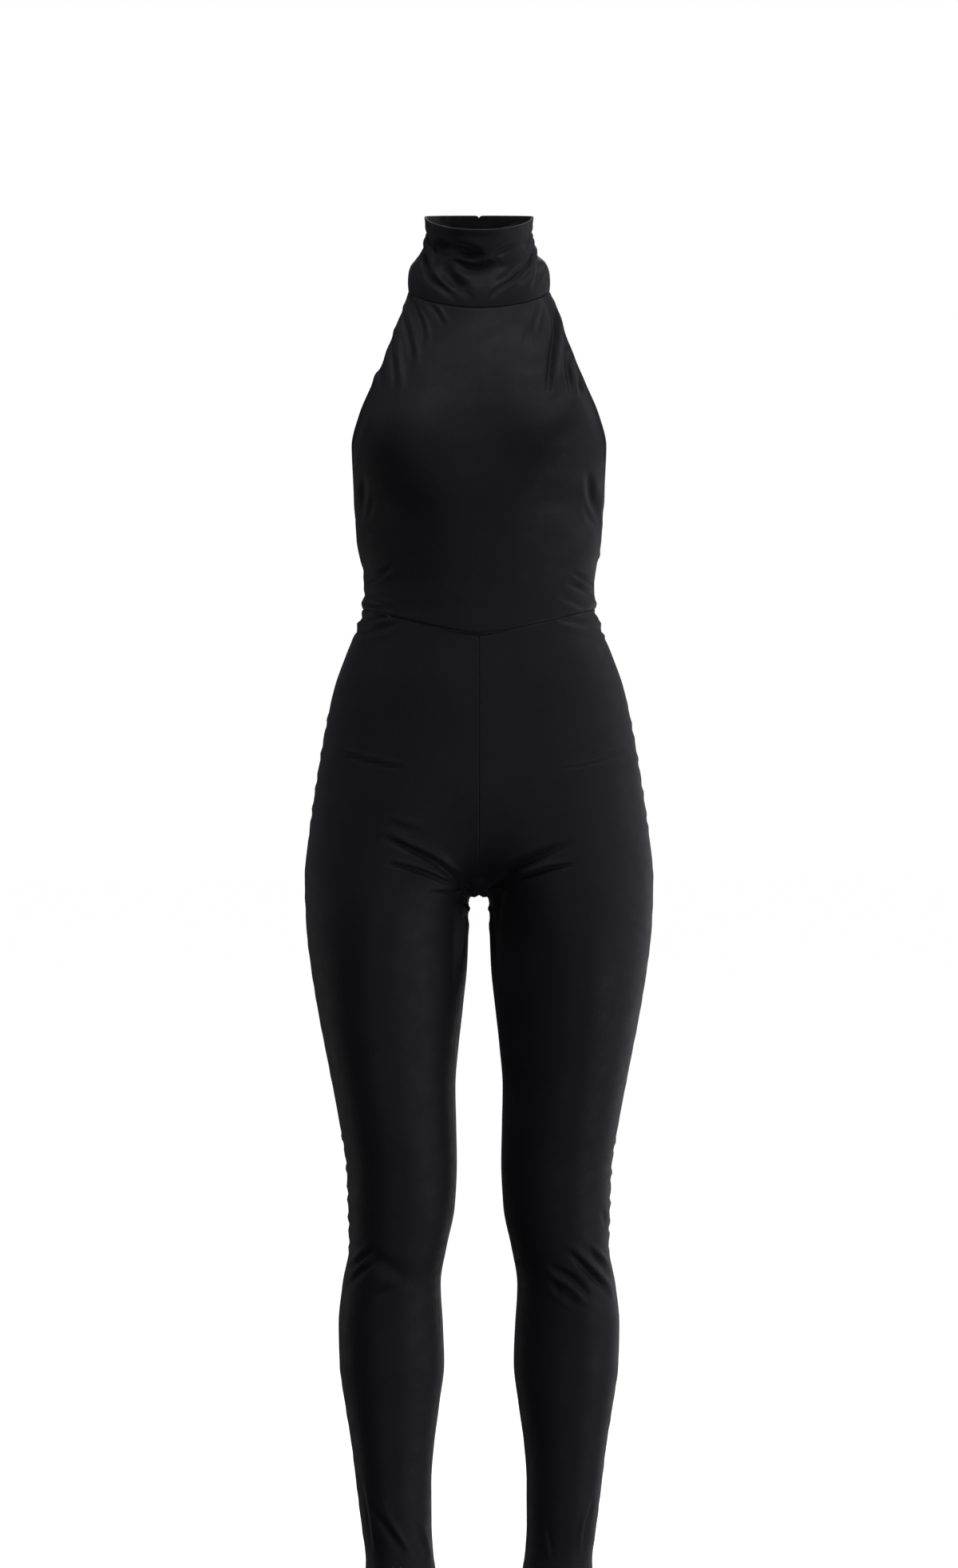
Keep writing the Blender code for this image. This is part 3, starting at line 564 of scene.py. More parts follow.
# The cover's underside: (share of the button's radius, depth under the rim, share of the gathers).
BUTTON_UNDERSIDE = (
    (0.985, 0.22 * MM, 0.15),
    (0.93, 0.36 * MM, 0.5),
    (0.82, 0.40 * MM, 0.9),
    (0.66, 0.30 * MM, 1.0),
    (0.48, 0.12 * MM, 0.8),
)
THREAD_TURNS = 5
THREAD_GROOVE = 0.88          # share of the shank's radius between two turns
SHANK_TOP = 1.05              # and at its top and its foot
SHANK_FOOT = 1.25
SHANK_TOP_GATHERS = 0.2
SHANK_SUNK = 0.1 * MM
CORD_SIDES = 16
CORD_STEPS = 14
CORD_GROOVE = 0.14            # how far the cord's lengthwise seam sinks, as a share of its radius
CORD_GROOVE_WIDTH = 0.5       # in radians round the cord
CORD_CLEAR = 0.1 * MM         # between the cord and the cloth
COLLAR_STEP_ROUND = 1.0       # degrees round, and
COLLAR_STEP_UP = 0.02         # share of the height up, for the collar's slope at a place

# ---------------------------------------------------------------- photograph's camera

CAMERA_DISTANCE = 4.5
CAMERA_X = 0.0
CAMERA_HEIGHT = -0.52445
FRAME_HEIGHT_AT_ORIGIN = 1.6694     # what the frame's height spans in the plane y = 0
SENSOR_HEIGHT = 36                  # millimetres

# ---------------------------------------------------------------- lights and floor

# A light stands LIGHT_DISTANCE from a place on the garment's axis at the height of aim, at an
# angle round from the front, towards +X, and an angle up.  Its power is in watts.
Light = namedtuple("Light", "name round up aim width height power")
LIGHT_DISTANCE = 3.0
LIGHTS = (
    Light("top_front", 10, 62, -0.60, 1.0, 1.6, 18.9),
    Light("top_right", 45, 62, -0.60, 1.0, 1.6, 12.1),
    Light("front_fill", -10, -12, -0.60, 0.8, 2.2, 10.2),
    Light("front_right_low", 50, -5, -1.15, 0.8, 0.9, 10.8),
    Light("right_low", 75, -5, -1.15, 0.8, 0.9, 13.7),
    Light("right_rim", 110, 12, -0.60, 0.8, 2.2, 6.4),
    Light("right_back", 130, -12, -0.60, 0.8, 2.2, 5.4),
    Light("right_high", 110, 38, -0.60, 0.8, 2.2, 12.0),
    Light("back", 150, -12, -0.60, 0.8, 2.2, 7.1),
    Light("top_left", -40, 60, -0.60, 1.0, 1.6, 2.2),
    Light("back_high", 176, 48, -0.50, 1.2, 1.8, 22.0),
    Light("left_high", -80, 38, -0.60, 0.8, 2.2, 7.2),
    Light("left_rim", -105, -12, -0.60, 0.8, 2.2, 1.9),
    Light("left_back", -128, -12, -0.60, 0.8, 2.2, 3.4),
)
WHITE = (1.0, 1.0, 1.0, 1.0)
WORLD_LIGHT = 0.004
FLOOR_HEIGHT = -1.47
FLOOR_SIZE = 40.0


# ---------------------------------------------------------------- curves

def smooth_step(value):
    value = np.clip(value, 0.0, 1.0)
    return value * value * (3 - 2 * value)


def grown(value, start, over):
    """Goes smoothly from 0 at start to 1 at start + over."""
    return smooth_step((value - start) / over)


def mix(first, second, share):
    return first + (second - first) * share


def table_curve(table, field):
    """A function for one column of a table: a smooth curve through its rows by their key."""
    rows = sorted(table, key=lambda row: row[0])
    keys = np.array([row[0] for row in rows])
    values = np.array([getattr(row, field) for row in rows])
    steps = np.diff(values) / np.diff(keys)
    slopes = np.zeros(len(rows))
    slopes[0] = steps[0]
    slopes[-1] = steps[-1]
    same_way = steps[:-1] * steps[1:] > 0
    total = np.where(same_way, steps[:-1] + steps[1:], 1.0)
    slopes[1:-1] = np.where(same_way, 2 * steps[:-1] * steps[1:] / total, 0.0)

    def curve(key):
        key = np.clip(key, keys[0], keys[-1])
        upper = np.clip(np.searchsorted(keys, key), 1, len(keys) - 1)
        lower = upper - 1
        span = keys[upper] - keys[lower]
        share = (key - keys[lower]) / span
        return (
            values[lower] * (2 * share**3 - 3 * share**2 + 1)
            + slopes[lower] * span * (share**3 - 2 * share**2 + share)
            + values[upper] * (3 * share**2 - 2 * share**3)
            + slopes[upper] * span * (share**3 - share**2)
        )

    return curve


HALF_WIDTH = table_curve(SECTIONS, "half_width")
SIDE_DEPTH = table_curve(SECTIONS, "side_depth")
FRONT_DEPTH = table_curve(SECTIONS, "front_depth")
BACK_DEPTH = table_curve(SECTIONS, "back_depth")
HALF_GAP = table_curve(LEG_GAPS, "half_gap")
CHEST_CURVES = {field: table_curve(CHEST, field) for field in Chest._fields[1:]}
RING_CURVES = {field: table_curve(COLLAR_RINGS, field) for field in Ring._fields[1:]}
SCALLOP_CURVE = table_curve(ARCH_SCALLOPS, "rise")


# ---------------------------------------------------------------- the CAD's surfaces

def oval_gap(height, half_width, rise_curve):
    merge = np.maximum(0.0, 1 - (height - CROTCH) / rise_curve) ** RISE_POWER
    merging = half_width * (merge - 1) / (merge + 1)
    parted = HALF_GAP(height)
    return (merging + parted - np.hypot(merging - parted, MERGE_ROUNDING)) / 2


def inseam_gap(height):
    below = np.clip((CROTCH - height) / CROTCH_DROP, 0.0, 1.0)
    return HALF_GAP(height) * (1 - (1 - below) ** ARCH_POWER) ** (1 / ARCH_POWER)


def trouser_surface(is_front, turn, height):
    """x and y on the trousers: turn is 0 at the side seam and 1 at the inner seam."""
    half_width = HALF_WIDTH(height)
    side_depth = SIDE_DEPTH(height)
    rise_curve = FRONT_RISE_CURVE if is_front else BACK_RISE_CURVE
    reach = (FRONT_DEPTH if is_front else BACK_DEPTH)(height) - side_depth
    gap = oval_gap(height, half_width, rise_curve)
    radius = (half_width - gap) / 2
    centre = half_width - radius
    cut_turn = np.where(gap > 0, math.pi, np.arccos(np.clip(-centre / radius, -1, 1)))
    rest_of_turn = np.where(height <= CROTCH, math.pi - cut_turn, 0.0)
    inner = smooth_step((turn - 1 + INSEAM_REACH) / INSEAM_REACH)
    towards_inner = turn ** (TURN_POWER * cut_turn / math.pi - TURN_OFFSET)
    angle = math.pi * turn - (math.pi - cut_turn) * towards_inner + rest_of_turn * inner
    inner_edge = centre + radius * np.cos(cut_turn + rest_of_turn)
    x = np.maximum(centre + radius * np.cos(angle) + (inseam_gap(height) - inner_edge) * inner, 0.0)
    skew = LEG_SKEW * grown(-height, -CROTCH - LEG_SKEW_TOP, LEG_SKEW_OVER) if is_front else 0.0
    y = side_depth + reach * (np.sin(angle) + skew * np.sin(2 * angle))
    still_to_grow = 1 - np.clip((height - CROTCH) / ROUNDING_HEIGHT, 0, 1)
    full_rounding = FRONT_ROUNDING if is_front else BACK_ROUNDING
    rounding_now = full_rounding * np.sqrt(1 - still_to_grow**2)
    round_x = np.hypot(x, rounding_now * np.exp(-((x / ROUNDING_REACH) ** 2)))
    cosine = np.clip((round_x - centre) / radius, -1, 1)
    rounded = side_depth + reach * np.sqrt(1 - cosine**2) * (1 + 2 * skew * cosine)
    return x, np.where(height > CROTCH, rounded, y)


def waist_height(is_front, across):
    return mix(WAIST_FRONT if is_front else WAIST_BACK, WAIST_SIDE, across**WAIST_POWER)


def leg_surface(is_front, turn, height):
    """x and y on the trousers with the inner seam turned to the front."""
    shift = INSEAM_SHIFT * grown(-height, INSEAM_SHIFT_START - CROTCH, INSEAM_SHIFT_OVER)
    if is_front:
        return trouser_surface(True, turn * (1 - shift), height)
    turned = np.minimum(turn, 1.0) * (1 + shift)
    x, y = trouser_surface(False, np.minimum(turned, 1.0), height)
    front_x, front_y = trouser_surface(True, np.minimum(2 - turned, 1.0), height)
    return np.where(turned > 1, front_x, x), np.where(turned > 1, front_y, y)


def trouser_place(is_front, turn, level):
    """Points of a trouser panel; level is the height at the side seam."""
    x, y = leg_surface(is_front, turn, np.full_like(turn, HEM_SIDE))
    slope = np.where(y < SIDE_DEPTH(HEM_SIDE), FRONT_HEM_SLOPE, BACK_HEM_SLOPE)
    hem_shift = -slope * (y - SIDE_DEPTH(HEM_SIDE))
    x, _ = trouser_surface(is_front, turn, np.full_like(turn, WAIST_SIDE))
    across = np.maximum(x, 0.0) / HALF_WIDTH(WAIST_SIDE)
    waist_shift = waist_height(is_front, across) - WAIST_SIDE
    leg = np.clip((CROTCH - CROTCH_DROP - level) / (CROTCH - CROTCH_DROP - HEM_SIDE), 0, 1)
    hip = np.clip((level - CROTCH) / (WAIST_SIDE - CROTCH), 0, 1)
    z = level + hem_shift * leg**HEM_SLOPE_POWER + waist_shift * smooth_step(hip)
    x, y = leg_surface(is_front, turn, z)
    return np.stack([x, y, z], axis=-1)


def back_bodice_place(turn, share):
    x, _ = trouser_surface(False, turn, np.full_like(turn, WAIST_SIDE))
    across = np.maximum(x, 0.0) / HALF_WIDTH(WAIST_SIDE)
    bottom = waist_height(False, across)
    top = mix(BACK_EDGE_CENTRE, BACK_EDGE_SIDE, across**BACK_EDGE_POWER)
    z = mix(bottom, top, share)
    x, y = trouser_surface(False, turn, z)
    return np.stack([x, y, z], axis=-1)


def bust_rise(x, height):
    spread = np.where(height > BUST_HEIGHT, BUST_SPREAD_UP, BUST_SPREAD_DOWN)
    across = (x - BUST_X) / BUST_SPREAD_X
    along = (height - BUST_HEIGHT) / spread
    other_side = (x + BUST_X) / BUST_SPREAD_X
    return BUST_RISE * (np.exp(-(across**2)) + np.exp(-(other_side**2))) * np.exp(-(along**2))


def chest_surface(turn, height):
    chest = height > CHEST[-1].height
    edge_width = np.where(chest, CHEST_CURVES["edge_width"](height), HALF_WIDTH(height))
    edge_depth = np.where(chest, CHEST_CURVES["edge_depth"](height), SIDE_DEPTH(height))
    middle_depth = np.where(chest, CHEST_CURVES["middle_depth"](height), FRONT_DEPTH(height))
    wrap = np.radians(np.where(chest, CHEST_CURVES["wrap"](height), 90.0))
    angle = wrap * turn
    x = edge_width * np.sin(angle) / np.sin(wrap)
    y = mix(middle_depth, edge_depth, (1 - np.cos(angle)) / (1 - np.cos(wrap)))
    return x, y - bust_rise(x, height) * np.cos(angle)


def front_bodice_place(turn, share):
    """Points of a bodice front; past a share of 1 it is tucked up inside the collar."""
    bottom = waist_height(True, np.sin(math.pi / 2 * turn))
    top = collar_place(FRONT_SEAM_REACH * turn, np.zeros_like(turn))
    z = mix(bottom, top[..., 2], np.minimum(share, 1))
    x, y = chest_surface(turn, z)
    chest_x, chest_y = chest_surface(turn, top[..., 2])
    near_neck = smooth_step(1 - (top[..., 2] - z) / NECK_BLEND)
    x = x + (top[..., 0] - chest_x) * near_neck
    y = y + (top[..., 1] - chest_y) * near_neck
    tucked = np.maximum(share - 1, 0) * BODICE_LENGTH
    inwards = TUCK_SLANT * tucked / np.hypot(x, y)
    return np.stack([x * (1 - inwards), y * (1 - inwards), z + tucked], axis=-1)


def collar_place(degrees, share):
    angle = np.radians(degrees)
    ahead = np.cos(angle)
    in_front = ahead >= 0
    reach = np.where(in_front, RING_CURVES["front"](share), RING_CURVES["back"](share))
    x = RING_CURVES["half_width"](share) * np.sin(angle)
    y = RING_CURVES["centre"](share) - reach * ahead
    base_middle = np.where(in_front, COLLAR_BASE_FRONT, COLLAR_BASE_BACK)
    base = mix(COLLAR_BASE_SIDE, base_middle, abs(ahead) ** COLLAR_BASE_POWER)
    top = mix(COLLAR_TOP_SIDE, np.where(in_front, COLLAR_TOP_FRONT, COLLAR_TOP_BACK), abs(ahead))
    return np.stack([x, y, mix(base, top, share)], axis=-1)


# ---------------------------------------------------------------- grids of points

def graded(length, count):
    """Distances along a row: close together at both ends, even between, count in all."""
    inner = count - 2 * len(EDGE_STEPS)
    first = EDGE_STEPS[-1]
    middle = np.linspace(0, 1, inner + 2)[1:-1]
    length = np.asarray(length)[..., None]
    return np.concatenate(
        [
            np.broadcast_to(EDGE_STEPS, (*length.shape[:-1], len(EDGE_STEPS))),
            first + (length - 2 * first) * middle,
            length - EDGE_STEPS[::-1],
        ],
        axis=-1,
    )


def lengths_along(points, axis):
    """Running length of the grid's lines along one axis."""
    steps = np.linalg.norm(np.diff(points, axis=axis), axis=-1)
    total = np.cumsum(steps, axis=axis)
    start = np.zeros_like(np.take(total, [0], axis=axis))
    return np.concatenate([start, total], axis=axis)


def smooth_rows(values, levels, reach):
    """Each row's values, evened out with those of the rows within reach of its level."""
    apart = (levels[:, None] - levels[None]) / reach
    weights = np.exp(-(apart**2)) * abs(np.gradient(levels))
    return weights @ values / weights.sum(axis=1, keepdims=True)


def even_columns(place, levels, count, first=0.0, last=1.0, even_over=0.0):
    """Grid of a surface with its columns set by length: rows are levels, columns are turns."""
    turns = np.linspace(first, last, DENSE)
    grid_turn, grid_level = np.meshgrid(turns, levels)
    dense = lengths_along(place(grid_turn, grid_level), 1)
    wanted = graded(dense[:, -1], count)
    turn = np.stack([np.interp(row, run, turns) for row, run in zip(wanted, dense)])
    if even_over:
        turn = smooth_rows(turn, np.asarray(levels), even_over)
    level = np.broadcast_to(np.asarray(levels)[:, None], turn.shape)
    return place(turn, level)


def normals_of(points):
    """Unit normal at each point of a grid: the way along its row crossed with the way along its
    column."""
    across = np.gradient(points, axis=1)
    along = np.gradient(points, axis=0)
    normal = np.cross(across, along)
    return normal / np.maximum(np.linalg.norm(normal, axis=-1, keepdims=True), 1e-12)


def edge_distances(points):
    """Distance of each point of a grid from its four edges: first column, last, first row, last."""
    across = lengths_along(points, 1)
    along = lengths_along(points, 0)
    return across, across[:, -1:] - across, along, along[-1:] - along


def trouser_levels():
    """Levels of the rows, hem to waist, close at the hem, crotch and waist."""
    top_of_leg = CROTCH - CROTCH_DROP
    thigh = np.arange(top_of_leg, top_of_leg - THIGH_FINE, -THIGH_STEP)[::-1]
    edge = HEM_SIDE + EDGE_STEPS
    leg_rows = round((thigh[0] - edge[-1]) / LEG_STEP)
    leg = np.linspace(edge[-1], thigh[0], leg_rows, endpoint=False)[1:]
    arch = CROTCH - CROTCH_DROP * np.array(ARCH_ROWS)
    hip_start = CROTCH + FLAT_CROTCH
    hip_length = WAIST_SIDE - hip_start
    shares = np.linspace(0, 1, HIP_ROWS) ** HIP_ROW_POWER
    hip = hip_start + (hip_length - EDGE_STEPS[-1]) * shares
    return np.concatenate([edge, leg, thigh, arch, hip, WAIST_SIDE - EDGE_STEPS[-2::-1]])


# ---------------------------------------------------------------- creases on a grid

def seen_from_front(points):
    """Where points show on the upright plane through the origin, from the front camera."""
    nearer = CAMERA_DISTANCE / (CAMERA_DISTANCE + points[..., 1])
    x = CAMERA_X + (points[..., 0] - CAMERA_X) * nearer
    z = CAMERA_HEIGHT + (points[..., 2] - CAMERA_HEIGHT) * nearer
    return np.stack([x, z], axis=-1) / MM


def seen_from_behind(points):
    """Where points show on that plane from far off, with +x still to the wearer's left."""
    return points[..., (0, 2)] / MM


def smooth_line(places):
    """Points along a smooth curve through the places of a crease."""
    places = np.array(places, float)
    if len(places) == 2:
        return np.linspace(places[0], places[1], CREASE_STEPS)
    padded = np.concatenate([[2 * places[0] - places[1]], places, [2 * places[-1] - places[-2]]])
    shares = np.linspace(0, 1, CREASE_STEPS, endpoint=False)[:, None]
    parts = []
    for a, b, c, d in zip(padded, padded[1:], padded[2:], padded[3:]):
        parts.append(
            b
            + (c - a) * shares / 2
            + (2 * a - 5 * b + 4 * c - d) * shares**2 / 2
            + (3 * b - a - 3 * c + d) * shares**3 / 2
        )
    return np.concatenate([*parts, places[-1:]])


def crease_rise(flat, crease, above=1.0, below=1.0):
    """Rise of the cloth, in millimetres, at places on the crease's own flat map.  above and
    below widen the trough's two sides."""
    line = smooth_line(crease.line)
    reach = crease.width * CREASE_REACH * max(above, below)
    near = np.all((flat > line.min(0) - reach) & (flat < line.max(0) + reach), axis=-1)
    rise = np.zeros(flat.shape[:-1])
    if not near.any():
        return rise
    here = flat[near]
    runs = np.diff(line, axis=0)
    run_lengths = np.linalg.norm(runs, axis=1)
    starts = np.concatenate([[0], np.cumsum(run_lengths)])
    left_is_above = 1 if line[-1, 0] >= line[0, 0] else -1
    best = np.full(len(here), np.inf)
    side = np.zeros(len(here))
    along = np.zeros(len(here))
    for start, run, length, before in zip(line, runs, run_lengths, starts):
        if length == 0:
            continue
        offset = here - start
        share = np.clip((offset @ run) / length**2, 0, 1)
        away = offset - share[:, None] * run
        distance = np.linalg.norm(away, axis=1)
        closer = distance < best
        best = np.where(closer, distance, best)
        turned = (run[0] * offset[:, 1] - run[1] * offset[:, 0]) * left_is_above
        side = np.where(closer, np.sign(turned), side)
        along = np.where(closer, (before + share * length) / starts[-1], along)
    fade = np.sin(math.pi * mix(CREASE_END, 1 - CREASE_END, along)) ** CREASE_TAPER
    across = best / crease.width * side
    trough = -crease.depth * np.exp(-((across / np.where(side > 0, above, below)) ** 2))
    bank_above = crease.above * np.exp(-(((across - BANK_AWAY) / BANK_SPREAD) ** 2))
    bank_below = crease.below * np.exp(-(((across + BANK_AWAY) / BANK_SPREAD) ** 2))
    rise[near] = (trough + bank_above + bank_below) * fade
    return rise


def creases_rise(flat, creases):
    return sum(crease_rise(flat, crease) for crease in creases)


def swells_rise(flat, swells):
    rise = np.zeros(flat.shape[:-1])
    for swell in swells:
        across = (flat[..., 0] - swell.x) / swell.spread_x
        up = flat[..., 1] - swell.z
        along = up / np.where(up < 0, swell.spread_below or swell.spread_z, swell.spread_z)
        rise += swell.height * np.exp(-(across**2) - along**2)
    return rise


def facing_share(points, outward, y_sign):
    """1 where the cloth faces the front, or the back where y_sign is 1, and 0 where it has turned
    away.  outward is the side of normals_of that is the outside."""
    towards = y_sign * outward * normals_of(points)[..., 1]
    return smooth_step(towards * FACING_GAIN + FACING_START)


def pucker_rise(height, from_seam, puckers, phase):
    """Waves along a seam, in millimetres, that die out a short way from it."""
    rise = np.zeros_like(height)
    for pucker in puckers:
        inside = grown(-height, -pucker.top, PUCKER_FADE) * grown(height, pucker.bottom, PUCKER_FADE)
        turn = 2 * math.pi * height / (pucker.pitch * MM)
        ripple = np.sin(turn / PUCKER_RIPPLE_PITCH + PUCKER_RIPPLE_PHASE * phase)
        wave = np.sin(turn + phase) + PUCKER_RIPPLE * ripple
        rise += pucker.height * inside * wave * np.exp(-((from_seam / PUCKER_REACH) ** 2))
    return rise


def soft_waves(points, waves):
    """Slow uneven waves of the cloth, in millimetres."""
    flat = points.reshape(-1, 3) / waves.size + waves.seed
    values = [noise.noise(Vector(place)) for place in flat]
    return waves.height * np.array(values).reshape(points.shape[:-1])


def quiet_near(*distances):
    """0 at the edges that the distances are from, and 1 past QUIET_REACH."""
    return np.prod([smooth_step(distance / QUIET_REACH) for distance in distances], axis=0)


def roll_rise(height, from_side, mirrored):
    rise = np.zeros_like(height)
    for roll in RIGHT_ROLLS if mirrored else LEFT_ROLLS:
        across = (height / MM - roll.height) / roll.width
        rise += roll.rise * np.exp(-(across**2) - (from_side / ROLL_REACH) ** 2)
    return rise


def arch_rise(points, from_inner):
    across = points[..., 0] / MM * ARCH_LENGTH / ARCH_ACROSS
    down = ARCH_LENGTH + (CROTCH - CROTCH_DROP - points[..., 2]) / MM
    under_arch = points[..., 2] > CROTCH - CROTCH_DROP
    along = np.where(under_arch, np.minimum(across, ARCH_LENGTH), down)
    reach = mix(ARCH_REACH, SEAM_REACH, smooth_step(along / ARCH_LENGTH - 1))
    above = np.exp(-((np.maximum(points[..., 2] - CROTCH, 0) / ARCH_ABOVE) ** 2))
    return SCALLOP_CURVE(along) * above * np.exp(-((from_inner / reach) ** 2))


def edge_relief(from_edge, edge):
    """Relief of a stitched edge's face, in millimetres."""
    beyond = from_edge - edge.inset
    dip = edge.dip * np.exp(-((beyond / edge.dip_reach) ** 2))
    return edge.swell * smooth_step(1 - beyond / edge.swell_reach) - dip


def hem_flare(from_hem):
    return HEM_FLARE * (1 - np.clip(from_hem / HEM_FLARE_REACH, 0, 1)) ** 2


def seam_dip(distance, seam):
    """How far the cloth sinks towards a seam, in millimetres."""
    return seam.dip * np.exp(-((distance / seam.reach) ** 2))


def centre_ridge(height, from_centre, from_waist):
    """The low ridge down the middle of the front with the seam along it, in millimetres."""
    above_crotch = height - CROTCH
    dip_share = mix(CENTRE_LOW_DIP, 1.0, grown(above_crotch, CENTRE_DIP_START, CENTRE_DIP_OVER))
    ridge = CENTRE_RIDGE * np.exp(-from_centre / CENTRE_RIDGE_REACH)
    ridge -= dip_share * seam_dip(from_centre, CENTRE_SEAM)
    faded = smooth_step(from_waist / CENTRE_TOP_FADE)
    return ridge * grown(above_crotch, CENTRE_START, CENTRE_OVER) * faded


def turned_edge(distance, depth, proud):
    """Extra wall inside a turned hem or edge: a second layer that ends in a small step."""
    return proud * (1 - grown(distance, depth, TURN_STEP))


# ---------------------------------------------------------------- shells

def add_object(name, data):
    thing = bpy.data.objects.new(name, data)
    bpy.context.scene.collection.objects.link(thing)
    return thing


def rounding(distance, radius):
    """How far a turned edge has fallen from the face at a distance from its end."""
    share = np.clip(1 - distance / radius, 0, FULL_ROUND)
    return radius * (1 - np.sqrt(1 - share**2))


def make_shell(name, points, outward, thickness, rise, turned, radii, mirrored=False, middle=None):
    """A closed wall of cloth on a grid of points, with every edge turned in and rounded.  Gives
    the piece, its outer face and that face's distances from the edges.

    outward is 1 or -1, the side of normals_of that is the outside.  rise is how far the outer
    face stands proud, in millimetres, and turned how much thicker the wall is inside.  middle is
    the column that meets the other half of the garment at x = 0."""
    normal = normals_of(points) * outward
    points = points + normal * (STAND + rise * MM)[..., None]
    normal = normals_of(points) * outward
    distances = edge_distances(points)
    fall = np.max([rounding(*edge) for edge in zip(distances, radii)], axis=0)
    outer = points - normal * fall[..., None]
    inner = points - normal * (thickness + turned - fall)[..., None]
    if middle is not None:
        from_middle = distances[FIRST_COLUMN if middle == 0 else LAST_COLUMN]
        for layer in (outer, inner):
            joined = points[:, middle, 2] > CROTCH
            gap = np.where(joined, layer[:, middle, 0] + MIDDLE_OVERLAP, 0.0)
            layer[..., 0] -= gap[:, None] * np.exp(-from_middle / MIDDLE_REACH)
    return grid_mesh(name, outer, inner, distances, outward, mirrored), outer, distances


def grid_mesh(name, outer, inner, distances, outward, mirrored):
    """A mesh of two grids of points, one inside the other, joined round their edges."""
    rows, columns = outer.shape[:2]
    count = rows * columns
    index = np.arange(count).reshape(rows, columns)
    corners = (index[:-1, :-1], index[:-1, 1:], index[1:, 1:], index[1:, :-1])
    quads = np.stack(corners, axis=-1).reshape(-1, 4)
    loop = np.concatenate([index[0, :-1], index[:-1, -1], index[-1, :0:-1], index[:0:-1, 0]])
    following = np.roll(loop, -1)
    rim = np.stack([following, loop, loop + count, following + count], axis=-1)
    faces = np.concatenate([quads, quads[:, ::-1] + count, rim])
    if (outward < 0) != mirrored:
        faces = faces[:, ::-1]
    vertices = np.concatenate([outer.reshape(-1, 3), inner.reshape(-1, 3)])
    if mirrored:
        vertices = vertices * (-1, 1, 1)
    mesh = bpy.data.meshes.new(name)
    mesh.vertices.add(len(vertices))
    mesh.vertices.foreach_set("co", vertices.astype(np.float32).ravel())
    mesh.loops.add(faces.size)
    mesh.loops.foreach_set("vertex_index", faces.astype(np.int32).ravel())
    mesh.polygons.add(len(faces))
    mesh.polygons.foreach_set("loop_start", np.arange(0, faces.size, 4, dtype=np.int32))
    mesh.update(calc_edges=True)
    mesh.validate()
    flat = np.stack([distances[0], distances[2]], axis=-1).reshape(-1, 2)
    flat = np.concatenate([flat, flat])
    uv = mesh.uv_layers.new(name="cloth")
    uv.data.foreach_set("uv", flat[faces.ravel()].astype(np.float32).ravel())
    mesh.shade_smooth()
    return add_object(name, mesh)


# ---------------------------------------------------------------- materials

def set_inputs(node, values):
    for slot, value in values.items():
        node.inputs[slot].default_value = value


def knit_material(name, dark, light, roughness, sheen, grain):
    """Crepe knit, from dark to light in faint patches, with its grain and wales as bump."""
    material = bpy.data.materials.new(name)
    material.use_nodes = True
    nodes = material.node_tree.nodes
    links = material.node_tree.links
    shader = nodes["Principled BSDF"]
    set_inputs(shader, {
        "Metallic": 0.0,
        "Specular IOR Level": 0.22,
        "Specular Tint": (0.95, 0.93, 1.0, 1.0),
        "Sheen Weight": sheen,
        "Sheen Roughness": 0.45,
        "Sheen Tint": (0.86, 0.90, 1.0, 1.0),
    })
    place = nodes.new("ShaderNodeTexCoord")

    def noise_at(scale, detail, rough=0.5):
        node = nodes.new("ShaderNodeTexNoise")
        set_inputs(node, {"Scale": scale, "Detail": detail, "Roughness": rough})
        links.new(place.outputs["Object"], node.inputs["Vector"])
        return node.outputs["Fac"]

    def spread(value, low, high):
        """A noise's value, most of which lies from 0.3 to 0.7, spread from low to high."""
        node = nodes.new("ShaderNodeMapRange")
        set_inputs(node, {"From Min": 0.3, "From Max": 0.7, "To Min": low, "To Max": high})
        links.new(value, node.inputs["Value"])
        return node.outputs["Result"]

    patches = noise_at(scale=22.0, detail=3.0)
    blend = nodes.new("ShaderNodeMix")
    blend.data_type = "RGBA"
    set_inputs(blend, {"A": dark, "B": light})
    links.new(spread(patches, 0.0, 1.0), blend.inputs["Factor"])
    links.new(blend.outputs["Result"], shader.inputs["Base Color"])
    uneven = noise_at(scale=60.0, detail=2.0)
    links.new(spread(uneven, roughness - 0.04, roughness + 0.04), shader.inputs["Roughness"])

    crepe = nodes.new("ShaderNodeBump")
    set_inputs(crepe, {"Strength": grain, "Distance": 0.25 * MM})
    links.new(noise_at(scale=1500.0, detail=2.0, rough=0.6), crepe.inputs["Height"])
    wales = nodes.new("ShaderNodeTexWave")
    wales.wave_type = "BANDS"
    wales.bands_direction = "X"
    set_inputs(wales, {"Scale": 180.0, "Distortion": 0.6, "Detail": 1.0, "Detail Scale": 6.0})
    links.new(place.outputs["UV"], wales.inputs["Vector"])
    rib = nodes.new("ShaderNodeBump")
    set_inputs(rib, {"Strength": grain * 0.5, "Distance": 0.12 * MM})
    links.new(wales.outputs["Fac"], rib.inputs["Height"])
    links.new(crepe.outputs["Normal"], rib.inputs["Normal"])
    links.new(rib.outputs["Normal"], shader.inputs["Normal"])
    return material


KNIT = knit_material(
    "black_knit",
    dark=(0.0094, 0.0090, 0.0118, 1),
    light=(0.0114, 0.0110, 0.0142, 1),
    roughness=0.60,
    sheen=0.08,
    grain=0.35,
)
THREAD = knit_material(
    "black_thread",
    dark=(0.0070, 0.0067, 0.0088, 1),
    light=(0.0100, 0.0096, 0.0124, 1),
    roughness=0.45,
    sheen=0.04,
    grain=0.2,
)


# ---------------------------------------------------------------- pieces and stitches

def finish_piece(piece, material):
    piece.data.materials.append(material)
    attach(piece, "root")


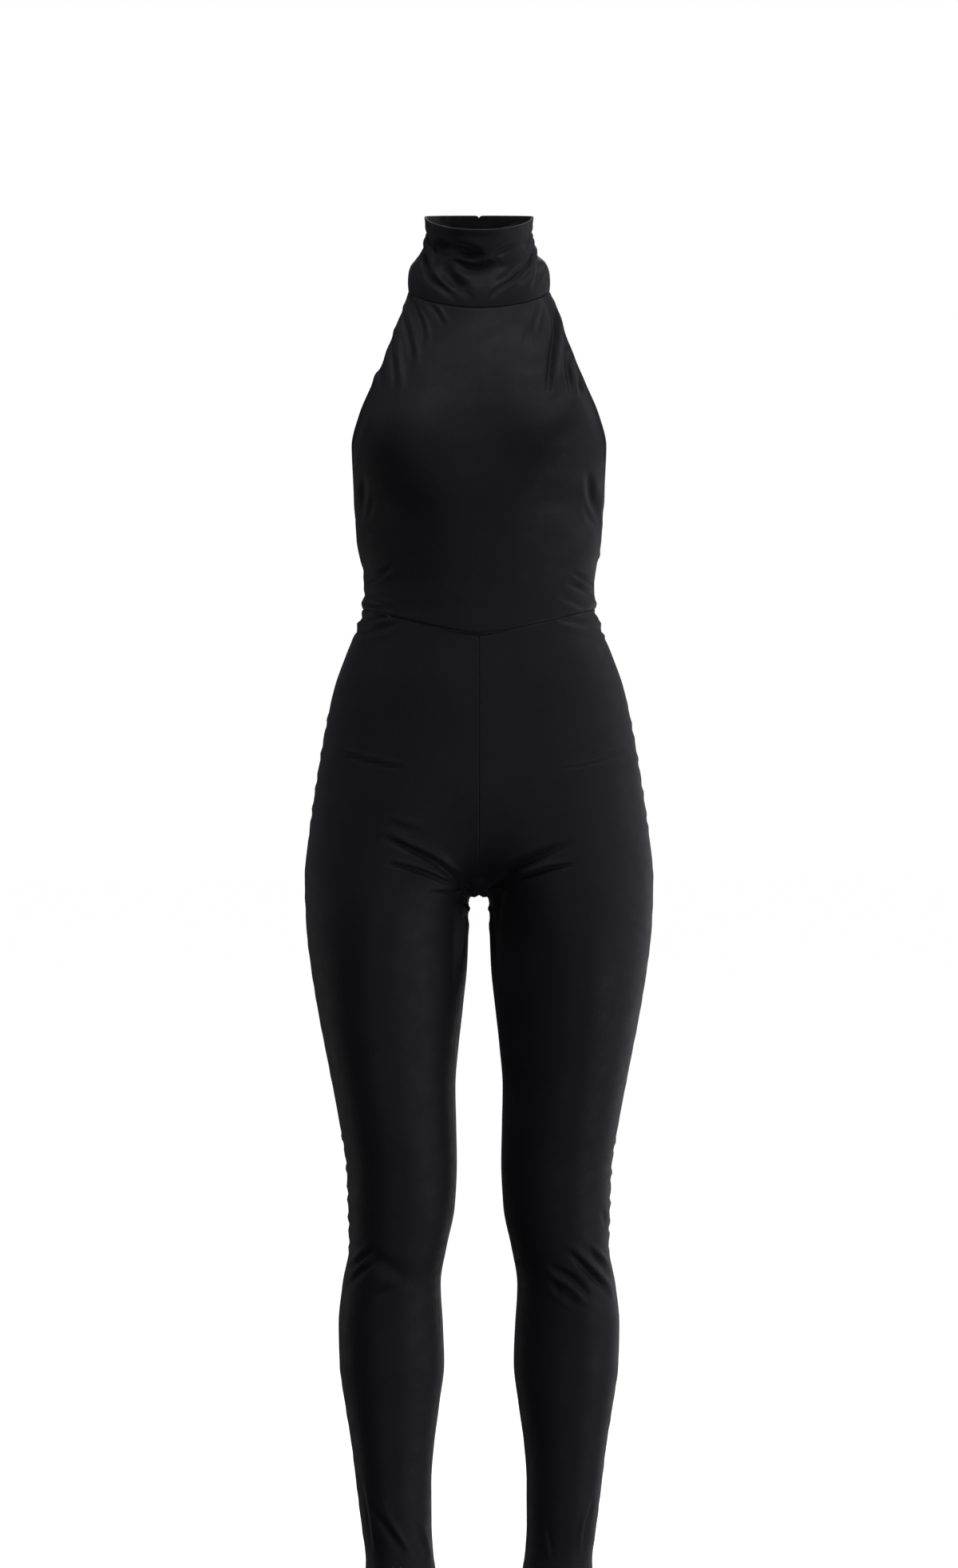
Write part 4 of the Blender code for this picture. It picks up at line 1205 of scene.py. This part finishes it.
def closed_mesh(name, places, faces, mirrored=False):
    """A piece from closed parts, with all their faces turned outward."""
    mesh = bpy.data.meshes.new(name)
    places = np.asarray(places).reshape(-1, 3) * (-1 if mirrored else 1, 1, 1)
    mesh.from_pydata(places.tolist(), [], faces)
    shape = bmesh.new()
    shape.from_mesh(mesh)
    bmesh.ops.recalc_face_normals(shape, faces=shape.faces)
    shape.to_mesh(mesh)
    shape.free()
    mesh.shade_smooth()
    return add_object(name, mesh)


def tube_faces(rings, sides, first=0):
    """Faces of a tube whose points run ring by ring, closed at both ends."""
    faces = []
    for ring in range(rings - 1):
        for side in range(sides):
            here = first + ring * sides
            following = (side + 1) % sides
            faces.append((here + side, here + sides + side, here + sides + following, here + following))
    last = first + (rings - 1) * sides
    faces.append(tuple(range(first, first + sides)))
    faces.append(tuple(range(last + sides - 1, last - 1, -1)))
    return faces


def tube_places(middle, normal, radius, sides):
    """Points round a line of places; radius is one number for each place."""
    tangent = np.gradient(middle, axis=-2)
    tangent = tangent / np.linalg.norm(tangent, axis=-1, keepdims=True)
    across = np.cross(tangent, normal)
    turn = np.linspace(0, 2 * math.pi, sides, endpoint=False)[:, None]
    round_it = np.cos(turn) * across[..., None, :] + np.sin(turn) * normal[..., None, :]
    return middle[..., None, :] + np.asarray(radius)[..., None, None] * round_it


def at_distances(wanted, run, places):
    """The places that lie at the wanted distances along a line of places."""
    return np.stack([np.interp(wanted, run, places[:, part]) for part in range(3)], axis=-1)


def line_inside(grid, distance, inset):
    """The place on each line of a grid that lies inset from the edge the distances count from."""
    places = []
    for line, run in zip(grid, distance):
        step = 1 if run[0] < run[-1] else -1
        places.append(at_distances(inset, run[::step], line[::step]))
    return np.array(places)


def stitch_row(name, grid, distance, inset, outward, mirrored):
    """A row of stitches on a grid of cloth, as one joined piece, inset from the edge that the
    distances along the grid's lines count from."""
    line = line_inside(grid, distance, inset)
    facing = line_inside(normals_of(grid) * outward, distance, inset)
    run = np.concatenate([[0], np.cumsum(np.linalg.norm(np.diff(line, axis=0), axis=1))])
    count = int(run[-1] / STITCH_PITCH)
    starts = (np.arange(count) + 0.5) * run[-1] / count - STITCH_LENGTH / 2
    rings = starts[:, None] + STITCH_LENGTH * np.array(STITCH_SHARES)
    normal = at_distances(rings, run, facing)
    normal = normal / np.linalg.norm(normal, axis=-1, keepdims=True)
    middle = at_distances(rings, run, line) + normal * np.array(STITCH_LIFTS)[:, None] * MM
    radius = np.broadcast_to(STITCH_RADIUS * np.array(STITCH_GIRTHS), rings.shape)
    places = tube_places(middle, normal, radius, STITCH_SIDES)
    faces = []
    for stitch in range(count):
        first = stitch * len(STITCH_SHARES) * STITCH_SIDES
        faces += tube_faces(len(STITCH_SHARES), STITCH_SIDES, first)
    piece = closed_mesh(name, places, faces, mirrored)
    finish_piece(piece, THREAD)
    return piece


# ---------------------------------------------------------------- cloth panels


def sew_panel(
    name, points, outward, rise, turned, radii, mirrored, middle, edge, inset, rows=...
):
    """A panel of knit in place of its solid, with a row of stitches beside one of its edges, in
    the given rows of the grid."""
    piece, outer, distances = make_shell(
        f"{name}_cloth", points, outward, CLOTH, rise, turned, radii, mirrored, middle
    )
    finish_piece(piece, KNIT)
    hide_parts(name)
    grid = outer[rows]
    distance = distances[edge][rows]
    if edge in (FIRST_ROW, LAST_ROW):
        grid = grid.transpose(1, 0, 2)
        distance = distance.T
        outward = -outward
    stitches = stitch_row(f"{name}_stitches", grid, distance, inset, outward, mirrored)


def on_side(points, mirrored):
    """A left panel's points where the garment has them, or the right panel's."""
    return points * (-1 if mirrored else 1, 1, 1)


def trouser_panel(is_front, side, mirrored):
    where = "front" if is_front else "back"
    outward = TO_FRONT if is_front else TO_BACK
    points = even_columns(
        lambda turn, level: trouser_place(is_front, turn, level),
        trouser_levels(),
        TROUSER_COLUMNS,
        even_over=EVEN_OVER,
    )
    shown = on_side(points, mirrored)
    height = points[..., 2]
    from_side, from_inner, from_hem, from_waist = edge_distances(points)
    if is_front:
        flat = seen_from_front(shown)
        hip = grown(height, CROTCH, SWELL_HIP_FADE)
        swells = swells_rise(flat, TROUSER_SWELLS)
        swells *= mix(smooth_step(from_inner / SWELL_SEAM_FADE), 1.0, hip)
        rise = creases_rise(flat, FRONT_TROUSER_CREASES) + swells
    else:
        rise = creases_rise(seen_from_behind(shown), BACK_TROUSER_CREASES)
    rise *= facing_share(points, outward, outward)
    phase = RIGHT_PHASE if mirrored else LEFT_PHASE
    below_crotch = height < CROTCH - CROTCH_DROP
    rise += pucker_rise(height, from_side, SIDE_PUCKERS, phase)
    rise += pucker_rise(height, from_inner, INNER_PUCKERS, phase + INNER_PHASE) * below_crotch
    quiet = quiet_near(np.minimum(from_side, from_inner), from_waist)
    rise += soft_waves(shown, TROUSER_WAVES) * quiet
    rise += edge_relief(from_hem, HEM) + hem_flare(from_hem)
    rise += arch_rise(points, from_inner) + roll_rise(height, from_side, mirrored)
    rise -= seam_dip(from_waist, BELOW_WAIST_SEAM)
    if is_front:
        rise += centre_ridge(height, from_inner, from_waist)
    sew_panel(
        f"trouser_{where}_{side}",
        points,
        outward,
        rise,
        turned=turned_edge(from_hem, HEM_DEPTH, HEM_PROUD),
        radii=TROUSER_RADII,
        mirrored=mirrored,
        middle=-1,
        edge=FIRST_ROW,
        inset=HEM.inset,
    )


def bodice_front_panel(side, mirrored):
    shares = graded(BODICE_LENGTH, BODICE_FRONT_ROWS) / BODICE_LENGTH
    shares = np.concatenate([shares, 1 + TUCK * np.array(TUCK_ROWS) / BODICE_LENGTH])
    points = even_columns(front_bodice_place, shares, BODICE_FRONT_COLUMNS)
    shown = on_side(points, mirrored)
    height = points[..., 2]
    from_centre, from_edge, from_waist, from_top = edge_distances(points)
    from_collar = np.maximum(from_top - TUCK * math.hypot(1, TUCK_SLANT), 0)
    flat = seen_from_front(shown)
    swells = swells_rise(flat, BODICE_SWELLS) * smooth_step(from_edge / SWELL_EDGE_FADE)
    rise = creases_rise(flat, FRONT_BODICE_CREASES) + swells
    rise *= facing_share(points, 1, TO_FRONT)
    rise += roll_rise(height, from_edge, mirrored) * grown(-height, -BACK_EDGE_SIDE, BELOW_ARMHOLE)
    rise -= seam_dip(from_waist, ABOVE_WAIST_SEAM) + seam_dip(from_collar, COLLAR_SEAM)
    armhole = grown(height, BACK_EDGE_SIDE, ARMHOLE_START)
    rise += armhole * edge_relief(from_edge, OPEN_EDGE)
    quiet = quiet_near(np.minimum(from_centre, from_edge), from_waist)
    rise += soft_waves(shown, BODICE_FRONT_WAVES) * quiet
    sew_panel(
        f"bodice_front_{side}",
        points,
        1,
        rise,
        turned=turned_edge(from_edge, EDGE_DEPTH, EDGE_PROUD) * armhole,
        radii=BODICE_FRONT_RADII,
        mirrored=mirrored,
        middle=0,
        edge=LAST_COLUMN,
        inset=OPEN_EDGE.inset,
        rows=(height[:, -1] > BACK_EDGE_SIDE) & (from_collar[:, -1] > 0),
    )


def bodice_back_panel(side, mirrored):
    shares = graded(BODICE_BACK_LENGTH, BODICE_BACK_ROWS) / BODICE_BACK_LENGTH
    points = even_columns(back_bodice_place, shares, BODICE_BACK_COLUMNS)
    shown = on_side(points, mirrored)
    from_side, from_centre, from_waist, from_top = edge_distances(points)
    rise = creases_rise(seen_from_behind(shown), BACK_BODICE_CREASES)
    rise *= facing_share(points, 1, TO_BACK)
    rise += roll_rise(points[..., 2], from_side, mirrored)
    rise -= seam_dip(from_waist, ABOVE_WAIST_SEAM)
    rise += edge_relief(from_top, OPEN_EDGE)
    rise += soft_waves(shown, BODICE_BACK_WAVES) * quiet_near(np.minimum(from_side, from_centre))
    sew_panel(
        f"bodice_back_{side}",
        points,
        1,
        rise,
        turned=turned_edge(from_top, EDGE_DEPTH, EDGE_PROUD),
        radii=BODICE_BACK_RADII,
        mirrored=mirrored,
        middle=-1,
        edge=LAST_ROW,
        inset=OPEN_EDGE.inset,
    )


def on_collar_map(crease):
    """A crease of the collar with its places in millimetres on the collar's flat map."""
    line = [(math.radians(turn) * COLLAR_RADIUS, share * COLLAR_TALL) for turn, share in crease.line]
    return crease._replace(line=line)


def collar_panel():
    last = 180 - math.degrees(SLIT_GAP / 2 / SLIT_RING.half_width)
    shares = graded(COLLAR_TALL * MM, COLLAR_ROWS) / (COLLAR_TALL * MM)
    points = even_columns(collar_place, shares, COLLAR_COLUMNS, -last, last)
    ring = {field: curve(shares)[:, None] for field, curve in RING_CURVES.items()}
    behind = points[..., 1] - ring["centre"]
    depth = np.where(behind < 0, ring["front"], ring["back"])
    around = np.arctan2(points[..., 0] / ring["half_width"], -behind / depth) * COLLAR_RADIUS
    share = np.broadcast_to(shares[:, None], around.shape)
    flat = np.stack([around, share * COLLAR_TALL], axis=-1)
    rise = np.zeros(around.shape)
    for crease in COLLAR_CREASES:
        rise += crease_rise(flat, on_collar_map(crease), COLLAR_STEEP, COLLAR_GENTLE)
    rise *= smooth_step(share / COLLAR_FADE) * smooth_step((1 - share) / COLLAR_FADE)
    from_slit = np.minimum(*edge_distances(points)[:2])
    notch = NOTCH_DEPTH * np.exp(-from_slit / NOTCH_WIDTH)
    points[..., 2] -= notch * smooth_step(1 - (1 - share) / NOTCH_REACH)
    turned = FACING_PROUD * np.exp(-(((from_slit - FACING_EDGE) / FACING_SPREAD) ** 2))
    for band in INNER_BANDS:
        turned += band.height * MM * np.exp(-(((around - band.place) / band.width) ** 2))
    piece, _, _ = make_shell("collar_cloth", points, 1, COLLAR_CLOTH, rise, turned, COLLAR_RADII)
    finish_piece(piece, KNIT)
    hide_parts("collar")


# ---------------------------------------------------------------- buttons and loops

def back_of_collar(sideways, share, proud):
    """A place over the outside of the collar's back, and the direction away from the cloth."""
    degrees = 180 - math.degrees(sideways / RING_CURVES["half_width"](share))
    place = collar_place(degrees, share)
    across = collar_place(degrees - COLLAR_STEP_ROUND, share) - place
    upward = collar_place(degrees, share + COLLAR_STEP_UP) - place
    outward = np.cross(upward, across)
    outward = outward / np.linalg.norm(outward)
    return place + outward * (STAND + proud), outward


def button_profile():
    """(radius, height, share of the gathers) from the top of the dome to the foot of the shank."""
    rim = 2 * LOOP_CORD + 2 * PROUD
    profile = []
    for ring in range(1, DOME_RINGS + 1):
        turn = math.pi / 2 * ring / DOME_RINGS
        profile.append((BUTTON_RADIUS * math.sin(turn), rim + BUTTON_DOME * math.cos(turn), 0.0))
    for share, depth, gathered in BUTTON_UNDERSIDE:
        profile.append((share * BUTTON_RADIUS, rim - depth, gathered))
    profile.append((SHANK_TOP * SHANK_RADIUS, rim, SHANK_TOP_GATHERS))
    steps = 2 * THREAD_TURNS
    for step in range(1, steps):
        wound = 1.0 if step % 2 else THREAD_GROOVE
        profile.append((wound * SHANK_RADIUS, rim * (1 - step / steps), 0.0))
    profile.append((SHANK_FOOT * SHANK_RADIUS, -SHANK_SUNK, 0.0))
    return profile


def make_button(name, share):
    foot, outward = back_of_collar(BUTTON_FROM_EDGE, share, 0.0)
    upward = np.cross(outward, (1.0, 0.0, 0.0))
    upward = upward / np.linalg.norm(upward)
    across = np.cross(upward, outward)
    turn = np.linspace(0, 2 * math.pi, BUTTON_SIDES, endpoint=False)
    circle = np.cos(turn)[:, None] * across + np.sin(turn)[:, None] * upward
    rings = []
    for radius, height, gathered in button_profile():
        fold = (gathered * GATHER_DEPTH * np.cos(GATHERS * turn))[:, None]
        rings.append(foot + (radius + fold) * circle + outward * (height + fold / 2))
    button = closed_mesh(f"{name}_cover", rings, tube_faces(len(rings), BUTTON_SIDES))
    finish_piece(button, KNIT)
    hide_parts(name)


def loop_route():
    """(sideways, upwards) along a loop: out from the slit's edge, round the shank and back."""
    bend = SHANK_RADIUS + PROUD + LOOP_CORD
    straight = np.linspace(-LOOP_TAIL, BUTTON_FROM_EDGE, CORD_STEPS, endpoint=False)
    arc = np.linspace(math.pi / 2, -math.pi / 2, CORD_STEPS)
    out = [(sideways, bend) for sideways in straight]
    round_shank = [(BUTTON_FROM_EDGE + bend * math.cos(turn), bend * math.sin(turn)) for turn in arc]
    back = [(sideways, -bend) for sideways in reversed(straight)]
    return out + round_shank + back


def make_loop(name, share):
    """A rouleau of knit sewn to one edge of the slit, round the other edge's button."""
    collar_height = COLLAR_TOP_BACK - COLLAR_BASE_BACK
    middle = []
    normal = []
    for sideways, upwards in loop_route():
        free = min(1.0, (sideways + LOOP_TAIL) / LOOP_TAIL)
        proud = mix(-LOOP_CORD / 2, LOOP_CORD, free) + CORD_CLEAR
        place, outward = back_of_collar(sideways, share + upwards / collar_height, proud)
        middle.append(place)
        normal.append(outward)
    middle = np.array(middle)
    places = tube_places(middle, np.array(normal), np.full(len(middle), LOOP_CORD), CORD_SIDES)
    turn = np.linspace(0, 2 * math.pi, CORD_SIDES, endpoint=False)
    groove = CORD_GROOVE * np.exp(-(((turn - math.pi) / CORD_GROOVE_WIDTH) ** 2))
    places = places + (middle[:, None] - places) * groove[None, :, None]
    loop = closed_mesh(f"{name}_cord", places, tube_faces(len(middle), CORD_SIDES))
    finish_piece(loop, KNIT)
    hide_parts(name)


# ---------------------------------------------------------------- light, floor and camera

def make_light(light):
    around = math.radians(light.round)
    up = math.radians(light.up)
    level = math.cos(up)
    towards = Vector((math.sin(around) * level, -math.cos(around) * level, math.sin(up)))
    data = bpy.data.lights.new(light.name, "AREA")
    data.shape = "RECTANGLE"
    data.size = light.width
    data.size_y = light.height
    data.energy = light.power
    lamp = add_object(light.name, data)
    lamp.location = Vector((0, 0, light.aim)) + LIGHT_DISTANCE * towards
    lamp.rotation_euler = (-towards).to_track_quat("-Z", "Y").to_euler()
    lamp.visible_camera = False


def make_world():
    """White behind the object, and a dim even light from all round."""
    world = bpy.data.worlds.new("studio")
    bpy.context.scene.world = world
    world.use_nodes = True
    nodes = world.node_tree.nodes
    links = world.node_tree.links
    seen = nodes["Background"]
    set_inputs(seen, {"Color": WHITE, "Strength": 1.0})
    lit = nodes.new("ShaderNodeBackground")
    set_inputs(lit, {"Color": WHITE, "Strength": WORLD_LIGHT})
    path = nodes.new("ShaderNodeLightPath")
    choice = nodes.new("ShaderNodeMixShader")
    links.new(path.outputs["Is Camera Ray"], choice.inputs["Fac"])
    links.new(lit.outputs["Background"], choice.inputs[1])
    links.new(seen.outputs["Background"], choice.inputs[2])
    links.new(choice.outputs["Shader"], nodes["World Output"].inputs["Surface"])


def make_floor():
    """Pale seamless floor below the hems.  Only the camera sees it, so the cloth stays black and
    low lights reach the legs through it."""
    mesh = bpy.data.meshes.new("floor")
    signs = ((-1, -1), (1, -1), (1, 1), (-1, 1))
    corners = [(x * FLOOR_SIZE, y * FLOOR_SIZE, FLOOR_HEIGHT) for x, y in signs]
    mesh.from_pydata(corners, [], [(0, 1, 2, 3)])
    floor = add_object("floor", mesh)
    paper = bpy.data.materials.new("pale_floor")
    paper.use_nodes = True
    set_inputs(paper.node_tree.nodes["Principled BSDF"], {
        "Base Color": (0.88, 0.88, 0.88, 1.0),
        "Roughness": 0.9,
        "Specular IOR Level": 0.1,
        "Emission Color": WHITE,
        "Emission Strength": 0.99,
    })
    mesh.materials.append(paper)
    floor.visible_diffuse = False
    floor.visible_glossy = False
    floor.visible_shadow = False


def make_camera():
    data = bpy.data.cameras.new("camera")
    data.sensor_fit = "VERTICAL"
    data.sensor_height = SENSOR_HEIGHT
    data.lens = SENSOR_HEIGHT * CAMERA_DISTANCE / FRAME_HEIGHT_AT_ORIGIN
    camera = add_object("camera", data)
    camera.location = (CAMERA_X, -CAMERA_DISTANCE, CAMERA_HEIGHT)
    camera.rotation_euler = (math.pi / 2, 0, 0)
    bpy.context.scene.camera = camera


# ---------------------------------------------------------------- the whole scene

collar_panel()
for closure, share in CLOSURES:
    make_button(f"button_{closure}", share)
    make_loop(f"loop_{closure}", share)
for side, mirrored in (("left", False), ("right", True)):
    for is_front in (True, False):
        trouser_panel(is_front, side, mirrored)
    bodice_front_panel(side, mirrored)
    bodice_back_panel(side, mirrored)

for light in LIGHTS:
    make_light(light)
make_world()
make_floor()
make_camera()
bpy.context.scene.view_settings.view_transform = "Standard"
